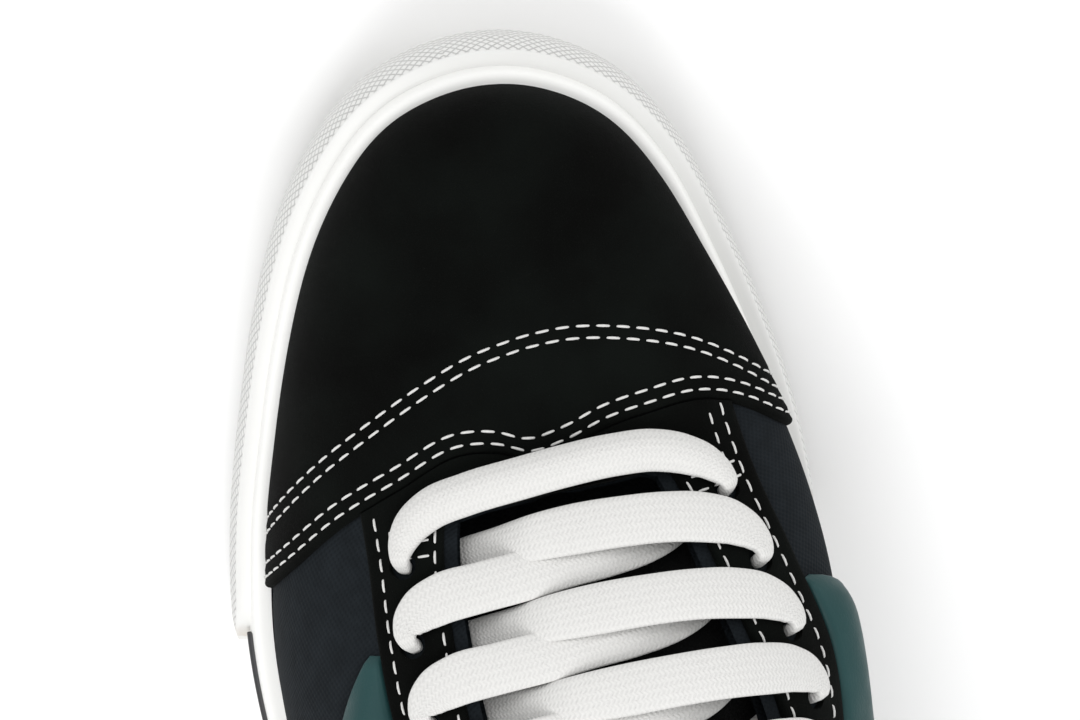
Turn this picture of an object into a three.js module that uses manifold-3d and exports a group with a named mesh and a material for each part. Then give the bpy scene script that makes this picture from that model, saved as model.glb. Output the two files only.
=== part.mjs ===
// A left skateboarding shoe: canvas upper with suede overlays on a vulcanised rubber sole.
// Millimetres. +Z is up, +Y points to the toe and +X to the inner side of the foot.
// The origin is on the floor below the middle of the shoe.
import * as THREE from 'three';
import { mergeVertices } from 'three/addons/utils/BufferGeometryUtils.js';
import Module from 'manifold-3d';

const wasm = await Module();
wasm.setup();

// Whole shoe
const LENGTH = 300;           // from the back of the heel strip to the tip of the toe bumper
const WIDTH = 114;            // across the ball, over the bumper
const GAP = 0.3;              // clearance between pieces that meet
const EDGE_GAP = 0.5;         // the same where an edge follows another one round the shoe

// Sole
const SOLE_EDGE = 3;          // height of the outsole's visible rim
const SOLE_BEVEL = 1.2;       // chamfer round the bottom of that rim
const BED = 12;               // height of the bed that carries the upper
const TOE_SPRING = 8;         // how far the tip of the toe stands off the floor
const HEEL_SPRING = 1.4;      // the same at the very back
const WAIST_LIFT = 0.8;       // the same under the waist
const TOE_LIFTS = 0.74;       // share of the length where the toe starts to rise
const TOE_CURVE = 1.8;        // how late it rises: 1 is a straight ramp
const HEEL_LIFTS = 0.06;      // share of the length where the heel starts to rise
const WAIST_FROM = 0.34;      // shares of the length between which the waist is raised
const WAIST_TO = 0.58;
const LUG = 24;               // pitch of the tread's grooves
const LUG_GROOVE = 2;         // their width
const LUG_DEPTH = 1.5;        // their depth
const LUG_RIM = 6;            // plain border round them
const INSOLE = 4;             // thickness of the footbed
const FOXING = 27;            // height of the foxing at the waist
const FOXING_SEAT = 5.4;      // how far the foxing's inner face lies inside its outer one
const FOXING_LEAN = 2.3;      // how far the foxing leans in at its top
const FOXING_ROUND = 1;       // rounding of its upper edge
const STRIPE = 2;             // height of the black line
const STRIPE_PROUD = 0.9;     // how far it stands out, its seat included
const STRIPE_MIDDLE = 0.7;    // share of the foxing's height
const STRIPE_GAP = 0.006;     // angle left free between the black line and its neighbours
const BUMPER = 2.6;           // how far the toe bumper stands out, its seat included
const BUMPER_END = 0.662;     // share of the length where it ends on both sides
const BUMPER_TOP = 0.8;       // share of the foxing's height
const BUMPER_ROUND = 0.05;    // angle over which its ends are rounded down
const BUMPER_MEETS = 0.33;    // share of that angle where the black line starts
const HEEL_STRIP = 1.4;       // how far the heel strip stands out, its seat included
const HEEL_STRIP_END = 0.05;  // share of the length where it ends
const HEEL_STRIP_TOP = 0.9;   // share of the foxing's height

// Upper
const WALL = 2.4;             // canvas, backing and lining together
const OVERLAY = 1.5;          // outer face of the suede above the canvas, its seat included
const COLLAR = 78;            // height of the upper's edge at the back of the heel
const FORM_TOP = 1.36 * COLLAR;  // where the last would close above the ankle
const BULGE = 9;              // greatest overhang of the inner side above the foxing
const BULGE_LOW = 0.8;        // where it is: below 1 it moves down the side
const PUFF = 5.6;             // how far the collar's padding stands out
const PUFF_EDGE = 12;         // height over which it rises from its lower edge
const PUFF_SEAM = 10;         // width over which it rises from the eyestay
const PUFF_FRONT = 14;        // length over which it rises from its front end
const ROLL = 7;               // half height of the padded roll round the collar's rim
const ROLL_END = 0.450;       // share of the length where the roll meets the eyestay
const ROLL_THIN = 0.3;        // its size there, as a share of the full one
const ROLL_GROWS = 50;        // length over which it grows to the full one
const THROAT_FRONT = 0.25 * LENGTH;  // front end of the throat, ahead of the middle of the shoe
const THROAT_BACK = -0.03 * LENGTH;  // rear end of the eyestay
const EYESTAY_LOW = 0.59 * COLLAR;   // the eyestay stays above this height
const EYESTAY_SET = 2.3;      // how far its inner edge lies outside the canvas's one

// Lace and tongue
const EYELETS = 6;            // pairs
const EYELET_FIRST = THROAT_FRONT - 6.5;  // the first pair, ahead of the middle of the shoe
const EYELET_LAST = THROAT_BACK + 15;     // and the last one
const EYELET_PLACE = 0.60;    // share of a leg's width from the throat's edge to a hole's middle
const EYELET_RADIUS = 3;
const EYELET_SIDES = 7;
const HOLE_DEPTH = 12;        // of the punch, through the suede and the canvas
const LACE_WIDTH = 9;
const LACE_THICK = 1.7;
const LACE_NECK = 0.40;       // its width in a hole, as a share of the full one
const NECK_THICK = 1.3;       // and its thickness there
const LEVEL = 0.72;           // sine of the angle to the last's normal above which the lace lies flat
const TONGUE_THICK = 5;
const TONGUE_SIDE = 0.4;      // its thickness at the sides, as a share of the full one
const TONGUE_THINS = 1 / 3;   // share of the thinning that its outer face takes
const TONGUE_TAPER = 5;       // length over which its ends are thinned
const TONGUE_TIP = 0.3;       // how far they are thinned: 0 is a sharp edge
const TONGUE_FRONT = THROAT_FRONT - 5;  // where the tongue starts, ahead of the middle of the shoe
const TONGUE_BACK = -0.1 * LENGTH;      // and where it ends
const TONGUE_HALF = 28;       // half its width
const TONGUE_END = 22;        // the same at its end
const TONGUE_RISE = 18;       // how far its end stands above the last's ridge
const TONGUE_LEAVES = -2;     // how far ahead of the throat's rear end it starts to rise
const TONGUE_ARCH = 11;       // how far the sides of its end lie below the middle

// Fineness of the surfaces
const STEPS = 26;             // stations along each side of the shoe
const ROWS = [12, 25, 38, 52, 65, 78, 90];  // degrees up each side of the last
const LINE = 24;              // points on a long cutting line
const SHORT_LINE = 10;        // points on a short one
const ROLL_PATH = 31;         // sections of the roll round the collar
const ROLL_SIDES = 8;
const TONGUE_PATH = 15;       // sections of the tongue
const HALVINGS = 30;          // of a search for a height on the last
const PASSES = 8;             // of a search for a place on it
const ROUNDING = [0.1, 0.33, 0.67, 1];  // sections of a band's rounded end, as shares of it
const ACROSS = [-1, -0.75, -0.5, -0.25, 0, 0.25, 0.5, 0.75, 1];  // points across the tongue
const WELD = 1e-4;            // points closer than this are one

const HALF = WIDTH / 2 - BUMPER;
const HEEL = -LENGTH / 2 + HEEL_STRIP;
const TOE = LENGTH / 2 - BUMPER;
const SEAT = FOXING_SEAT + GAP;
const EYELET_PITCH = (EYELET_FIRST - EYELET_LAST) / (EYELETS - 1);
const LACE_ROOM = WALL + 5 * GAP + LACE_THICK;  // from the canvas's outer face down to the tongue's sides
const LACE_UNDER = -(WALL + 3 * GAP + LACE_THICK / 2);  // the lace's middle below the canvas
const LACE_OVER = OVERLAY + 2 * GAP + LACE_THICK / 2;   // and above the eyestay

// Plan of the sole: shares of its length, and of HALF to the outer and the inner side.
const SOLE_PLAN = [
  { along: 0.000, outer: -0.060, inner: -0.060 },
  { along: 0.030, outer: -0.420, inner: 0.310 },
  { along: 0.090, outer: -0.650, inner: 0.530 },
  { along: 0.180, outer: -0.770, inner: 0.640 },
  { along: 0.300, outer: -0.850, inner: 0.670 },
  { along: 0.420, outer: -0.935, inner: 0.750 },
  { along: 0.520, outer: -1.000, inner: 0.845 },
  { along: 0.600, outer: -1.030, inner: 0.930 },
  { along: 0.670, outer: -1.005, inner: 0.985 },
  { along: 0.740, outer: -0.920, inner: 0.984 },
  { along: 0.800, outer: -0.809, inner: 0.939 },
  { along: 0.860, outer: -0.679, inner: 0.870 },
  { along: 0.910, outer: -0.543, inner: 0.794 },
  { along: 0.955, outer: -0.362, inner: 0.659 },
  { along: 0.988, outer: -0.137, inner: 0.433 },
  { along: 1.000, outer: 0.156, inner: 0.156 },
];

// The last, by sections: foxing height (share of FOXING), overhang (share of BULGE) and
// fullness (2 is an ellipse, more is boxier) of the outer and the inner side.
const SECTIONS = [
  { along: 0.00, foxing: 1.15, bulgeOuter: 0.35, bulgeInner: 0.35, fullOuter: 2.5, fullInner: 2.5 },
  { along: 0.20, foxing: 1.08, bulgeOuter: 0.30, bulgeInner: 0.50, fullOuter: 2.2, fullInner: 2.3 },
  { along: 0.40, foxing: 1.00, bulgeOuter: 0.15, bulgeInner: 0.90, fullOuter: 2.0, fullInner: 2.8 },
  { along: 0.55, foxing: 0.98, bulgeOuter: 0.10, bulgeInner: 1.00, fullOuter: 2.0, fullInner: 2.8 },
  { along: 0.70, foxing: 0.97, bulgeOuter: 0.05, bulgeInner: 0.66, fullOuter: 2.2, fullInner: 2.7 },
  { along: 0.80, foxing: 0.94, bulgeOuter: 0.02, bulgeInner: 0.38, fullOuter: 2.3, fullInner: 2.5 },
  { along: 0.90, foxing: 0.90, bulgeOuter: 0.00, bulgeInner: 0.10, fullOuter: 2.3, fullInner: 2.4 },
  { along: 1.00, foxing: 0.86, bulgeOuter: 0.00, bulgeInner: 0.00, fullOuter: 2.3, fullInner: 2.3 },
];

// The last's ridge: height as a share of FORM_TOP, sideways as a share of HALF.
const RIDGE = [
  { along: 0.150, height: 1.000, side: -0.020 },
  { along: 0.250, height: 1.000, side: 0.010 },
  { along: 0.370, height: 0.980, side: 0.095 },
  { along: 0.470, height: 0.935, side: 0.160 },
  { along: 0.550, height: 0.870, side: 0.185 },
  { along: 0.620, height: 0.790, side: 0.190 },
  { along: 0.670, height: 0.712, side: 0.165 },
  { along: 0.720, height: 0.622, side: 0.147 },
  { along: 0.770, height: 0.543, side: 0.140 },
  { along: 0.820, height: 0.492, side: 0.143 },
  { along: 0.875, height: 0.462, side: 0.152 },
];
const HEEL_POLE = 0.15;       // where the ridge starts, as a share of the length
const TOE_POLE = 0.125;       // and how far before the tip it ends
const POLE_REACH = 0.45;      // share of the length over which the ridge leaves its poles

// Upper edge of the collar in side view: height as a share of COLLAR.
const RIM = [
  { along: 0.000, height: 1.000 },
  { along: 0.060, height: 0.985 },
  { along: 0.150, height: 0.920 },
  { along: 0.260, height: 0.850 },
  { along: 0.340, height: 0.860 },
  { along: 0.400, height: 0.930 },
  { along: 0.440, height: 1.050 },
  { along: 0.465, height: 1.180 },
  { along: 0.475, height: 1.240 },
];

// Lower edge of the padded collar on each side: height as a share of COLLAR.
const COLLAR_OUTER = [
  { along: 0.000, height: 0.720 },
  { along: 0.120, height: 0.640 },
  { along: 0.300, height: 0.585 },
  { along: 0.450, height: 0.640 },
  { along: 0.560, height: 0.720 },
  { along: 0.637, height: 0.777 },
  { along: 0.695, height: 0.806 },
];
const COLLAR_INNER = [
  { along: 0.000, height: 0.720 },
  { along: 0.120, height: 0.640 },
  { along: 0.300, height: 0.560 },
  { along: 0.450, height: 0.550 },
  { along: 0.560, height: 0.560 },
  { along: 0.620, height: 0.590 },
  { along: 0.652, height: 0.650 },
  { along: 0.675, height: 0.790 },
];

// Flat zones of the sole that carry lugs, as shares of its length.
const TREAD = [
  { from: 0.070, to: 0.330 },
  { from: 0.590, to: 0.740 },
];

// Plan of the throat and of the eyestay's legs beside it, as shares of HALF.
const THROAT = [
  { along: 0.470, half: 0.420, leg: 0.170 },
  { along: 0.520, half: 0.435, leg: 0.190 },
  { along: 0.570, half: 0.445, leg: 0.230 },
  { along: 0.620, half: 0.435, leg: 0.268 },
  { along: 0.690, half: 0.395, leg: 0.280 },
  { along: 0.738, half: 0.350, leg: 0.285 },
  { along: 0.772, half: 0.290, leg: 0.330 },
];

// Rear edge of the toe cap in plan, with its peak in the middle of the instep.
const CAP_EDGE = [
  { side: -1.20, along: 0.672 },
  { side: -0.88, along: 0.718 },
  { side: -0.73, along: 0.736 },
  { side: -0.53, along: 0.759 },
  { side: -0.34, along: 0.774 },
  { side: -0.12, along: 0.787 },
  { side: 0.00, along: 0.783 },
  { side: 0.09, along: 0.775 },
  { side: 0.21, along: 0.777 },
  { side: 0.35, along: 0.784 },
  { side: 0.49, along: 0.786 },
  { side: 0.65, along: 0.784 },
  { side: 0.80, along: 0.771 },
  { side: 0.92, along: 0.754 },
  { side: 1.20, along: 0.716 },
];

// Front edge of the heel counter in side view: height as a share of COLLAR.
const COUNTER_EDGE = [
  { height: 0.30, along: 0.235 },
  { height: 0.45, along: 0.190 },
  { height: 0.58, along: 0.125 },
  { height: 0.66, along: 0.060 },
];

// The foxing's outer face in straight steps: shares of its height, and of how far it leans in there.
const FOXING_ROWS = [
  { height: 0.00, lean: 0.00 },
  { height: 0.35, lean: 0.00 },
  { height: 0.60, lean: 0.30 },
  { height: 0.80, lean: 0.68 },
  { height: 1.00, lean: 1.00 },
];

// Routes of the lace: sideways as a share of the eyelet's offset, ahead as a share of EYELET_PITCH,
// height as a share from LACE_UNDER to LACE_OVER, and width as a share of LACE_WIDTH.
const BAR = [
  { side: -1.000, ahead: 0.000, height: 0.000, width: LACE_NECK },
  { side: -1.000, ahead: 0.000, height: 0.750, width: LACE_NECK },
  { side: -0.990, ahead: 0.080, height: 0.985, width: 0.48 },
  { side: -0.965, ahead: 0.260, height: 1.000, width: 0.66 },
  { side: -0.892, ahead: 0.520, height: 1.000, width: 0.88 },
  { side: -0.748, ahead: 0.740, height: 1.000, width: 1.00 },
  { side: -0.520, ahead: 0.850, height: 1.060, width: 1.00 },
  { side: -0.200, ahead: 0.890, height: 1.150, width: 1.00 },
  { side: 0.100, ahead: 0.915, height: 1.160, width: 1.00 },
  { side: 0.400, ahead: 0.925, height: 1.090, width: 1.00 },
  { side: 0.620, ahead: 0.850, height: 1.000, width: 1.00 },
  { side: 0.790, ahead: 0.660, height: 1.000, width: 0.98 },
  { side: 0.916, ahead: 0.420, height: 1.000, width: 0.82 },
  { side: 0.975, ahead: 0.210, height: 1.000, width: 0.62 },
  { side: 0.995, ahead: 0.070, height: 0.985, width: 0.47 },
  { side: 1.000, ahead: 0.000, height: 0.750, width: LACE_NECK },
  { side: 1.000, ahead: 0.000, height: 0.000, width: LACE_NECK },
];
const OVER = [
  { side: -1.035, ahead: 0.000, height: 0.000, width: LACE_NECK },
  { side: -0.840, ahead: 0.080, height: -0.045, width: 0.52 },
  { side: -0.660, ahead: 0.130, height: -0.020, width: 0.68 },
  { side: -0.450, ahead: 0.150, height: 0.360, width: 0.76 },
  { side: -0.200, ahead: 0.120, height: 0.940, width: 0.92 },
  { side: 0.050, ahead: 0.100, height: 1.060, width: 1.00 },
  { side: 0.320, ahead: 0.080, height: 1.080, width: 1.00 },
  { side: 0.560, ahead: -0.010, height: 1.040, width: 1.00 },
  { side: 0.750, ahead: -0.180, height: 1.000, width: 1.00 },
  { side: 0.895, ahead: -0.410, height: 1.000, width: 0.92 },
  { side: 0.975, ahead: -0.670, height: 1.000, width: 0.74 },
  { side: 1.000, ahead: -0.860, height: 1.000, width: 0.54 },
  { side: 1.000, ahead: -0.950, height: 0.985, width: 0.45 },
  { side: 1.000, ahead: -1.000, height: 0.750, width: LACE_NECK },
  { side: 1.000, ahead: -1.000, height: 0.000, width: LACE_NECK },
];
const UNDER = [
  { side: -1.035, ahead: 0.000, height: 0.000, width: LACE_NECK },
  { side: -0.840, ahead: -0.060, height: -0.045, width: 0.52 },
  { side: -0.660, ahead: -0.150, height: -0.020, width: 0.72 },
  { side: -0.450, ahead: -0.220, height: 0.300, width: 0.88 },
  { side: -0.200, ahead: -0.260, height: 0.620, width: 1.00 },
  { side: 0.050, ahead: -0.290, height: 0.750, width: 1.00 },
  { side: 0.300, ahead: -0.320, height: 0.800, width: 1.00 },
  { side: 0.550, ahead: -0.360, height: 0.880, width: 1.00 },
  { side: 0.770, ahead: -0.440, height: 1.000, width: 1.00 },
  { side: 0.900, ahead: -0.580, height: 1.000, width: 0.90 },
  { side: 0.975, ahead: -0.760, height: 1.000, width: 0.70 },
  { side: 1.000, ahead: -0.890, height: 1.000, width: 0.52 },
  { side: 1.000, ahead: -0.955, height: 0.985, width: 0.45 },
  { side: 1.000, ahead: -1.000, height: 0.750, width: LACE_NECK },
  { side: 1.000, ahead: -1.000, height: 0.000, width: LACE_NECK },
];

const MATERIALS = {
  outsole: { color: 0xe9e6df, roughness: 0.7 },
  foxing: { color: 0xf0f0ee, roughness: 0.5 },
  foxing_stripe_outer: { color: 0x16171a, roughness: 0.5 },
  foxing_stripe_inner: { color: 0x16171a, roughness: 0.5 },
  toe_bumper: { color: 0xe2e2df, roughness: 0.6 },
  heel_strip: { color: 0xecebe7, roughness: 0.55 },
  upper: { color: 0x1f2327, roughness: 0.9 },
  toe_cap: { color: 0x101010, roughness: 0.95 },
  eyestay: { color: 0x0f1110, roughness: 0.95 },
  collar: { color: 0x304241, roughness: 0.45 },
  heel_counter: { color: 0x101010, roughness: 0.95 },
  tongue: { color: 0x0b0c0c, roughness: 0.95 },
  insole: { color: 0x1c1d20, roughness: 0.9 },
  lace: { color: 0xe4e3e1, roughness: 0.85 },
};

// A smooth curve through knots, with slopes weighted by the spacing.
function spline(knots, values) {
  const last = knots.length - 1;
  const steps = knots.slice(1).map((knot, i) => knot - knots[i]);
  const rises = steps.map((step, i) => (values[i + 1] - values[i]) / step);
  const slopes = knots.map((_, i) => {
    if (i === 0 || i === last) return 0;
    return (steps[i] * rises[i - 1] + steps[i - 1] * rises[i]) / (steps[i - 1] + steps[i]);
  });
  slopes[0] = (3 * rises[0] - slopes[1]) / 2;
  slopes[last] = (3 * rises[last - 1] - slopes[last - 1]) / 2;
  return (x) => {
    const at = THREE.MathUtils.clamp(x, knots[0], knots[last]);
    let i = 0;
    while (i < last - 1 && at > knots[i + 1]) i += 1;
    const t = (at - knots[i]) / steps[i];
    const pull = steps[i] * t * (1 - t) * (slopes[i] * (1 - t) - slopes[i + 1] * t);
    return values[i] + (values[i + 1] - values[i]) * t * t * (3 - 2 * t) + pull;
  };
}

function curveOf(rows, column, by = 'along') {
  return spline(rows.map((row) => row[by]), rows.map((row) => row[column]));
}

// Angles round the shoe: 0 at the heel, pi at the toe, the inner side first.
const angleOf = (along) => Math.acos(1 - 2 * along);
const alongOf = (angle) => (1 - Math.cos(angle)) / 2;
const yOf = (along) => HEEL + (TOE - HEEL) * along;
const shareOf = (y) => (y - HEEL) / (TOE - HEEL);

// A closed curve round the shoe through a column for each side.
function ringOf(rows, outer, inner) {
  const there = rows.map((row) => [angleOf(row.along), row[inner]]);
  const back = rows.slice(1, -1).reverse().map((row) => [2 * Math.PI - angleOf(row.along), row[outer]]);
  const once = [...there, ...back];
  const turn = (knots, by) => knots.map(([angle, value]) => [angle + by, value]);
  const all = [...turn(once, -2 * Math.PI).slice(-4), ...once, ...turn(once, 2 * Math.PI).slice(0, 4)];
  const curve = spline(all.map((knot) => knot[0]), all.map((knot) => knot[1]));
  return (angle) => curve(THREE.MathUtils.euclideanModulo(angle, 2 * Math.PI));
}

const planX = ringOf(SOLE_PLAN, 'outer', 'inner');
const bulgeAt = ringOf(SECTIONS, 'bulgeOuter', 'bulgeInner');
const fullAt = ringOf(SECTIONS, 'fullOuter', 'fullInner');
const foxingAt = curveOf(SECTIONS, 'foxing');
const ridgeHeight = curveOf(RIDGE, 'height');
const ridgeSide = curveOf(RIDGE, 'side');
const rimHeight = curveOf(RIM, 'height');
const collarOuter = curveOf(COLLAR_OUTER, 'height');
const collarInner = curveOf(COLLAR_INNER, 'height');
const throatHalf = curveOf(THROAT, 'half');
const legShare = curveOf(THROAT, 'leg');
const capEdge = curveOf(CAP_EDGE, 'along', 'side');
const counterEdge = curveOf(COUNTER_EDGE, 'along', 'height');

const centreX = (y) => HALF * ridgeSide(shareOf(y));
const rimZ = (y) => COLLAR * rimHeight(shareOf(y));
const collarEdgeZ = (y, inner) => COLLAR * (inner ? collarInner : collarOuter)(shareOf(y));
const collarEnd = (inner) => yOf((inner ? COLLAR_INNER : COLLAR_OUTER).at(-1).along);
const throatX = (y) => HALF * throatHalf(shareOf(y));
const legX = (y) => HALF * legShare(shareOf(y));

// How far the sole's bottom stands off the floor, flat under the heel and the ball.
function lift(y) {
  const along = shareOf(y);
  const toe = Math.max(0, (along - TOE_LIFTS) / (1 - TOE_LIFTS));
  const heel = Math.max(0, 1 - along / HEEL_LIFTS);
  const waist = THREE.MathUtils.clamp((along - WAIST_FROM) / (WAIST_TO - WAIST_FROM), 0, 1);
  const raised = WAIST_LIFT * Math.sin(Math.PI * waist) ** 2;
  return TOE_SPRING * toe ** TOE_CURVE + HEEL_SPRING * heel ** 2 + raised;
}

// A point of the sole's outline, moved in by an inset.
function edge(angle, inset) {
  const at = (a) => new THREE.Vector2(HALF * planX(a), yOf(alongOf(a)));
  const small = 0.01;
  const along = at(angle + small).sub(at(angle - small)).normalize();
  return at(angle).sub(new THREE.Vector2(along.y, -along.x).multiplyScalar(inset));
}

const foxingTop = (angle) => lift(yOf(alongOf(angle))) + FOXING * foxingAt(alongOf(angle));

// A point of the last's surface. rise is -1 at the feather edge, 0 at the foxing's top, 1 on the ridge.
function lastPoint(angle, rise) {
  const base = edge(angle, SEAT);
  const top = foxingTop(angle);
  if (rise <= 0) return new THREE.Vector3(base.x, base.y, top + rise * (top - BED - GAP - lift(base.y)));
  const along = alongOf(angle);
  const heelPull = Math.max(0, 1 - along / POLE_REACH) ** 2;
  const toePull = Math.max(0, 1 - (1 - along) / POLE_REACH) ** 2;
  const ridgeAlong = along + HEEL_POLE * heelPull - TOE_POLE * toePull;
  const ridge = new THREE.Vector2(HALF * ridgeSide(ridgeAlong), yOf(ridgeAlong));
  const across = Math.cos(rise * Math.PI / 2);
  const full = fullAt(angle);
  const up = (1 - across ** full) ** (1 / full);
  const out = BULGE * bulgeAt(angle) * Math.sin(Math.PI * up ** BULGE_LOW) ** 2;
  const foot = edge(angle, SEAT - out);
  const flat = ridge.clone().lerp(foot, across);
  return new THREE.Vector3(flat.x, flat.y, top + (FORM_TOP * ridgeHeight(ridgeAlong) - top) * up);
}

function lastNormal(angle, rise) {
  const small = 0.004;
  if (rise > 1 - small) {
    const pole = 0.1;
    const along = THREE.MathUtils.clamp(Math.acos(Math.cos(angle)), pole, Math.PI - pole);
    const ridge = lastPoint(along + small, 1).sub(lastPoint(along - small, 1));
    return new THREE.Vector3(0, -ridge.z, ridge.y).normalize();
  }
  const round = lastPoint(angle + small, rise).sub(lastPoint(angle - small, rise));
  const steep = lastPoint(angle, rise + small).sub(lastPoint(angle, rise - small));
  const up = rise > small ? steep : new THREE.Vector3(0, 0, 1);
  return round.cross(up).normalize();
}

const skin = (angle, rise, out) => lastPoint(angle, rise).addScaledVector(lastNormal(angle, rise), out);

// The lowest rise at which a side of the last passes a test.
function findRise(angle, isPast) {
  let low = 0;
  let high = 1;
  for (let i = 0; i < HALVINGS; i += 1) {
    const middle = (low + high) / 2;
    if (isPast(lastPoint(angle, middle))) high = middle;
    else low = middle;
  }
  return (low + high) / 2;
}

// A closed body through sections with equal counts of points.
// Ends are zipped shut across each section, from a single point when pole is set.
function loft(sections, { ring = false, pole = false } = {}) {
  const count = sections[0].length;
  const triangles = [];
  const at = (i, j) => (i % sections.length) * count + ((j + count) % count);
  for (let i = 0; i < sections.length - (ring ? 0 : 1); i += 1) {
    for (let j = 0; j < count; j += 1) {
      triangles.push([at(i, j), at(i, j + 1), at(i + 1, j + 1)], [at(i, j), at(i + 1, j + 1), at(i + 1, j)]);
    }
  }
  const zip = (i, flip) => {
    for (let k = 0; k < count / 2 - (pole ? 0 : 1); k += 1) {
      const here = [at(i, k), at(i, pole ? count - k : count - 1 - k)];
      const next = [at(i, k + 1), at(i, pole ? count - k - 1 : count - 2 - k)];
      const pair = [[next[0], here[0], next[1]], [here[0], here[1], next[1]]];
      triangles.push(...(flip ? pair.map((face) => face.reverse()) : pair));
    }
  };
  if (!ring) {
    zip(0, false);
    zip(sections.length - 1, true);
  }
  const geometry = new THREE.BufferGeometry();
  const points = sections.flat().flatMap((point) => point.toArray());
  geometry.setAttribute('position', new THREE.Float32BufferAttribute(points, 3));
  geometry.setIndex(triangles.flat());
  return solidOf(geometry);
}

// A manifold solid from a closed geometry, faces out.
function solidOf(source) {
  const bare = source.clone();
  bare.deleteAttribute('normal');
  bare.deleteAttribute('uv');
  const merged = mergeVertices(bare, WELD);
  const vertProperties = merged.attributes.position.array;
  const corner = (i) => new THREE.Vector3().fromArray(vertProperties, 3 * i);
  const faces = [];
  let volume = 0;
  for (let i = 0; i < merged.index.count; i += 3) {
    const face = [merged.index.getX(i), merged.index.getX(i + 1), merged.index.getX(i + 2)];
    if (new Set(face).size < 3) continue;
    faces.push(face);
    volume += corner(face[0]).dot(corner(face[1]).cross(corner(face[2])));
  }
  if (volume < 0) faces.forEach((face) => face.reverse());
  const triVerts = Uint32Array.from(faces.flat());
  return new wasm.Manifold(new wasm.Mesh({ numProp: 3, vertProperties, triVerts }));
}

// Straight prisms: plan points run up along Z, side points (y, z) run along X.
function prism(points, from, to, sideways = false) {
  const shape = new THREE.Shape(points.map(([u, v]) => new THREE.Vector2(u, v)));
  const geometry = new THREE.ExtrudeGeometry(shape, { depth: to - from, bevelEnabled: false });
  geometry.translate(0, 0, from);
  if (sideways) {
    const turn = new THREE.Matrix4().set(0, 0, 1, 0, 1, 0, 0, 0, 0, 1, 0, 0, 0, 0, 0, 1);
    geometry.applyMatrix4(turn);
  }
  return solidOf(geometry);
}

function range(count, from, to) {
  return Array.from({ length: count }, (_, i) => from + (to - from) * i / (count - 1));
}

const union = (solids) => solids.reduce((whole, solid) => whole.add(solid));
const FAR = LENGTH;           // past everything, for cutters

const stations = Array.from({ length: 2 * STEPS }, (_, i) => Math.PI * i / STEPS);

// The whole last as a body, its surface moved out by a distance that may change over it.
function lastBody(outAt, { drop = 0, raise = 0 } = {}) {
  const out = typeof outAt === 'number' ? () => outAt : outAt;
  const ringAt = (rise, shift) => stations.map((angle) => {
    const point = skin(angle, rise, out(angle, rise));
    return point.setZ(point.z + shift);
  });
  const rows = ROWS.map((degrees) => ringAt(degrees / 90, 0));
  const foot = raise ? [ringAt(0, raise)] : [ringAt(-1, -drop), ringAt(0, 0)];
  return loft([...foot, ...rows], { pole: true });
}

// A shell of an overlay's thickness on the last, from just above the foxing.
function overlay(out) {
  return lastBody(out, { raise: EDGE_GAP }).subtract(lastBody(GAP, { drop: BED / 2 }));
}

// Plan between two lines at equal distances from the ridge.
function ridgePlan(halfAt, front, back) {
  const ys = range(SHORT_LINE, back, front);
  const side = (sign) => ys.map((y) => [centreX(y) + sign * halfAt(y), y]);
  return [...side(1), ...side(-1).reverse()];
}

function eyestayPlan(margin, back) {
  const halfAt = (y) => throatX(y) + legX(y) + margin;
  return prism(ridgePlan(halfAt, TOE, back), EYESTAY_LOW, FAR);
}

// The throat, wider by a margin on both sides.
function throatPlan(margin) {
  return prism(ridgePlan((y) => throatX(y) + margin, THROAT_FRONT, TONGUE_BACK), SOLE_EDGE, FAR);
}

// Everything above the collar's rim, moved up or down by a shift.
function aboveRim(shift) {
  const ys = range(LINE, HEEL, yOf(RIM.at(-1).along));
  const line = ys.map((y) => [y, rimZ(y) + shift]);
  const end = ys.at(-1);
  return prism([[-FAR, line[0][1]], ...line, [end, FAR], [-FAR, FAR]], -FAR, FAR, true);
}

// Plan in front of the toe cap's rear edge, moved back by a shift.
function capPlan(shift) {
  const [from, to] = [CAP_EDGE[0].side, CAP_EDGE.at(-1).side];
  const line = range(LINE, from, to).map((side) => [HALF * side, yOf(capEdge(side)) - shift]);
  return [...line, [HALF * to, FAR], [HALF * from, FAR]];
}

// The collar's panel on one side: above its lower edge and behind its front end.
function collarSide(inner) {
  const ys = range(LINE, HEEL, collarEnd(inner));
  const line = ys.map((y) => [y, collarEdgeZ(y, inner) + GAP]);
  const side = [[-FAR, line[0][1]], ...line, [ys.at(-1), FAR], [-FAR, FAR]];
  return inner ? prism(side, -GAP, FAR, true) : prism(side, -FAR, GAP, true);
}

function counterSide() {
  const heights = range(SHORT_LINE, COUNTER_EDGE[0].height, COUNTER_EDGE.at(-1).height);
  const line = heights.map((height) => [yOf(counterEdge(height)), COLLAR * height]);
  const top = line.at(-1)[1];
  return [[-FAR, 0], [line[0][0], 0], ...line, [-FAR, top]];
}

// The angle and rise of the last's surface at a length y and an offset from the ridge.
function surfaceAt(y, offset) {
  const side = offset < 0 ? (a) => 2 * Math.PI - a : (a) => a;
  let along = shareOf(y);
  let rise = 1;
  for (let i = 0; i < PASSES; i += 1) {
    const angle = side(angleOf(along));
    rise = findRise(angle, (point) => Math.abs(point.x - centreX(y)) < Math.abs(offset));
    along += shareOf(y) - shareOf(lastPoint(angle, rise).y);
  }
  return { angle: side(angleOf(along)), rise };
}

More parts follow.
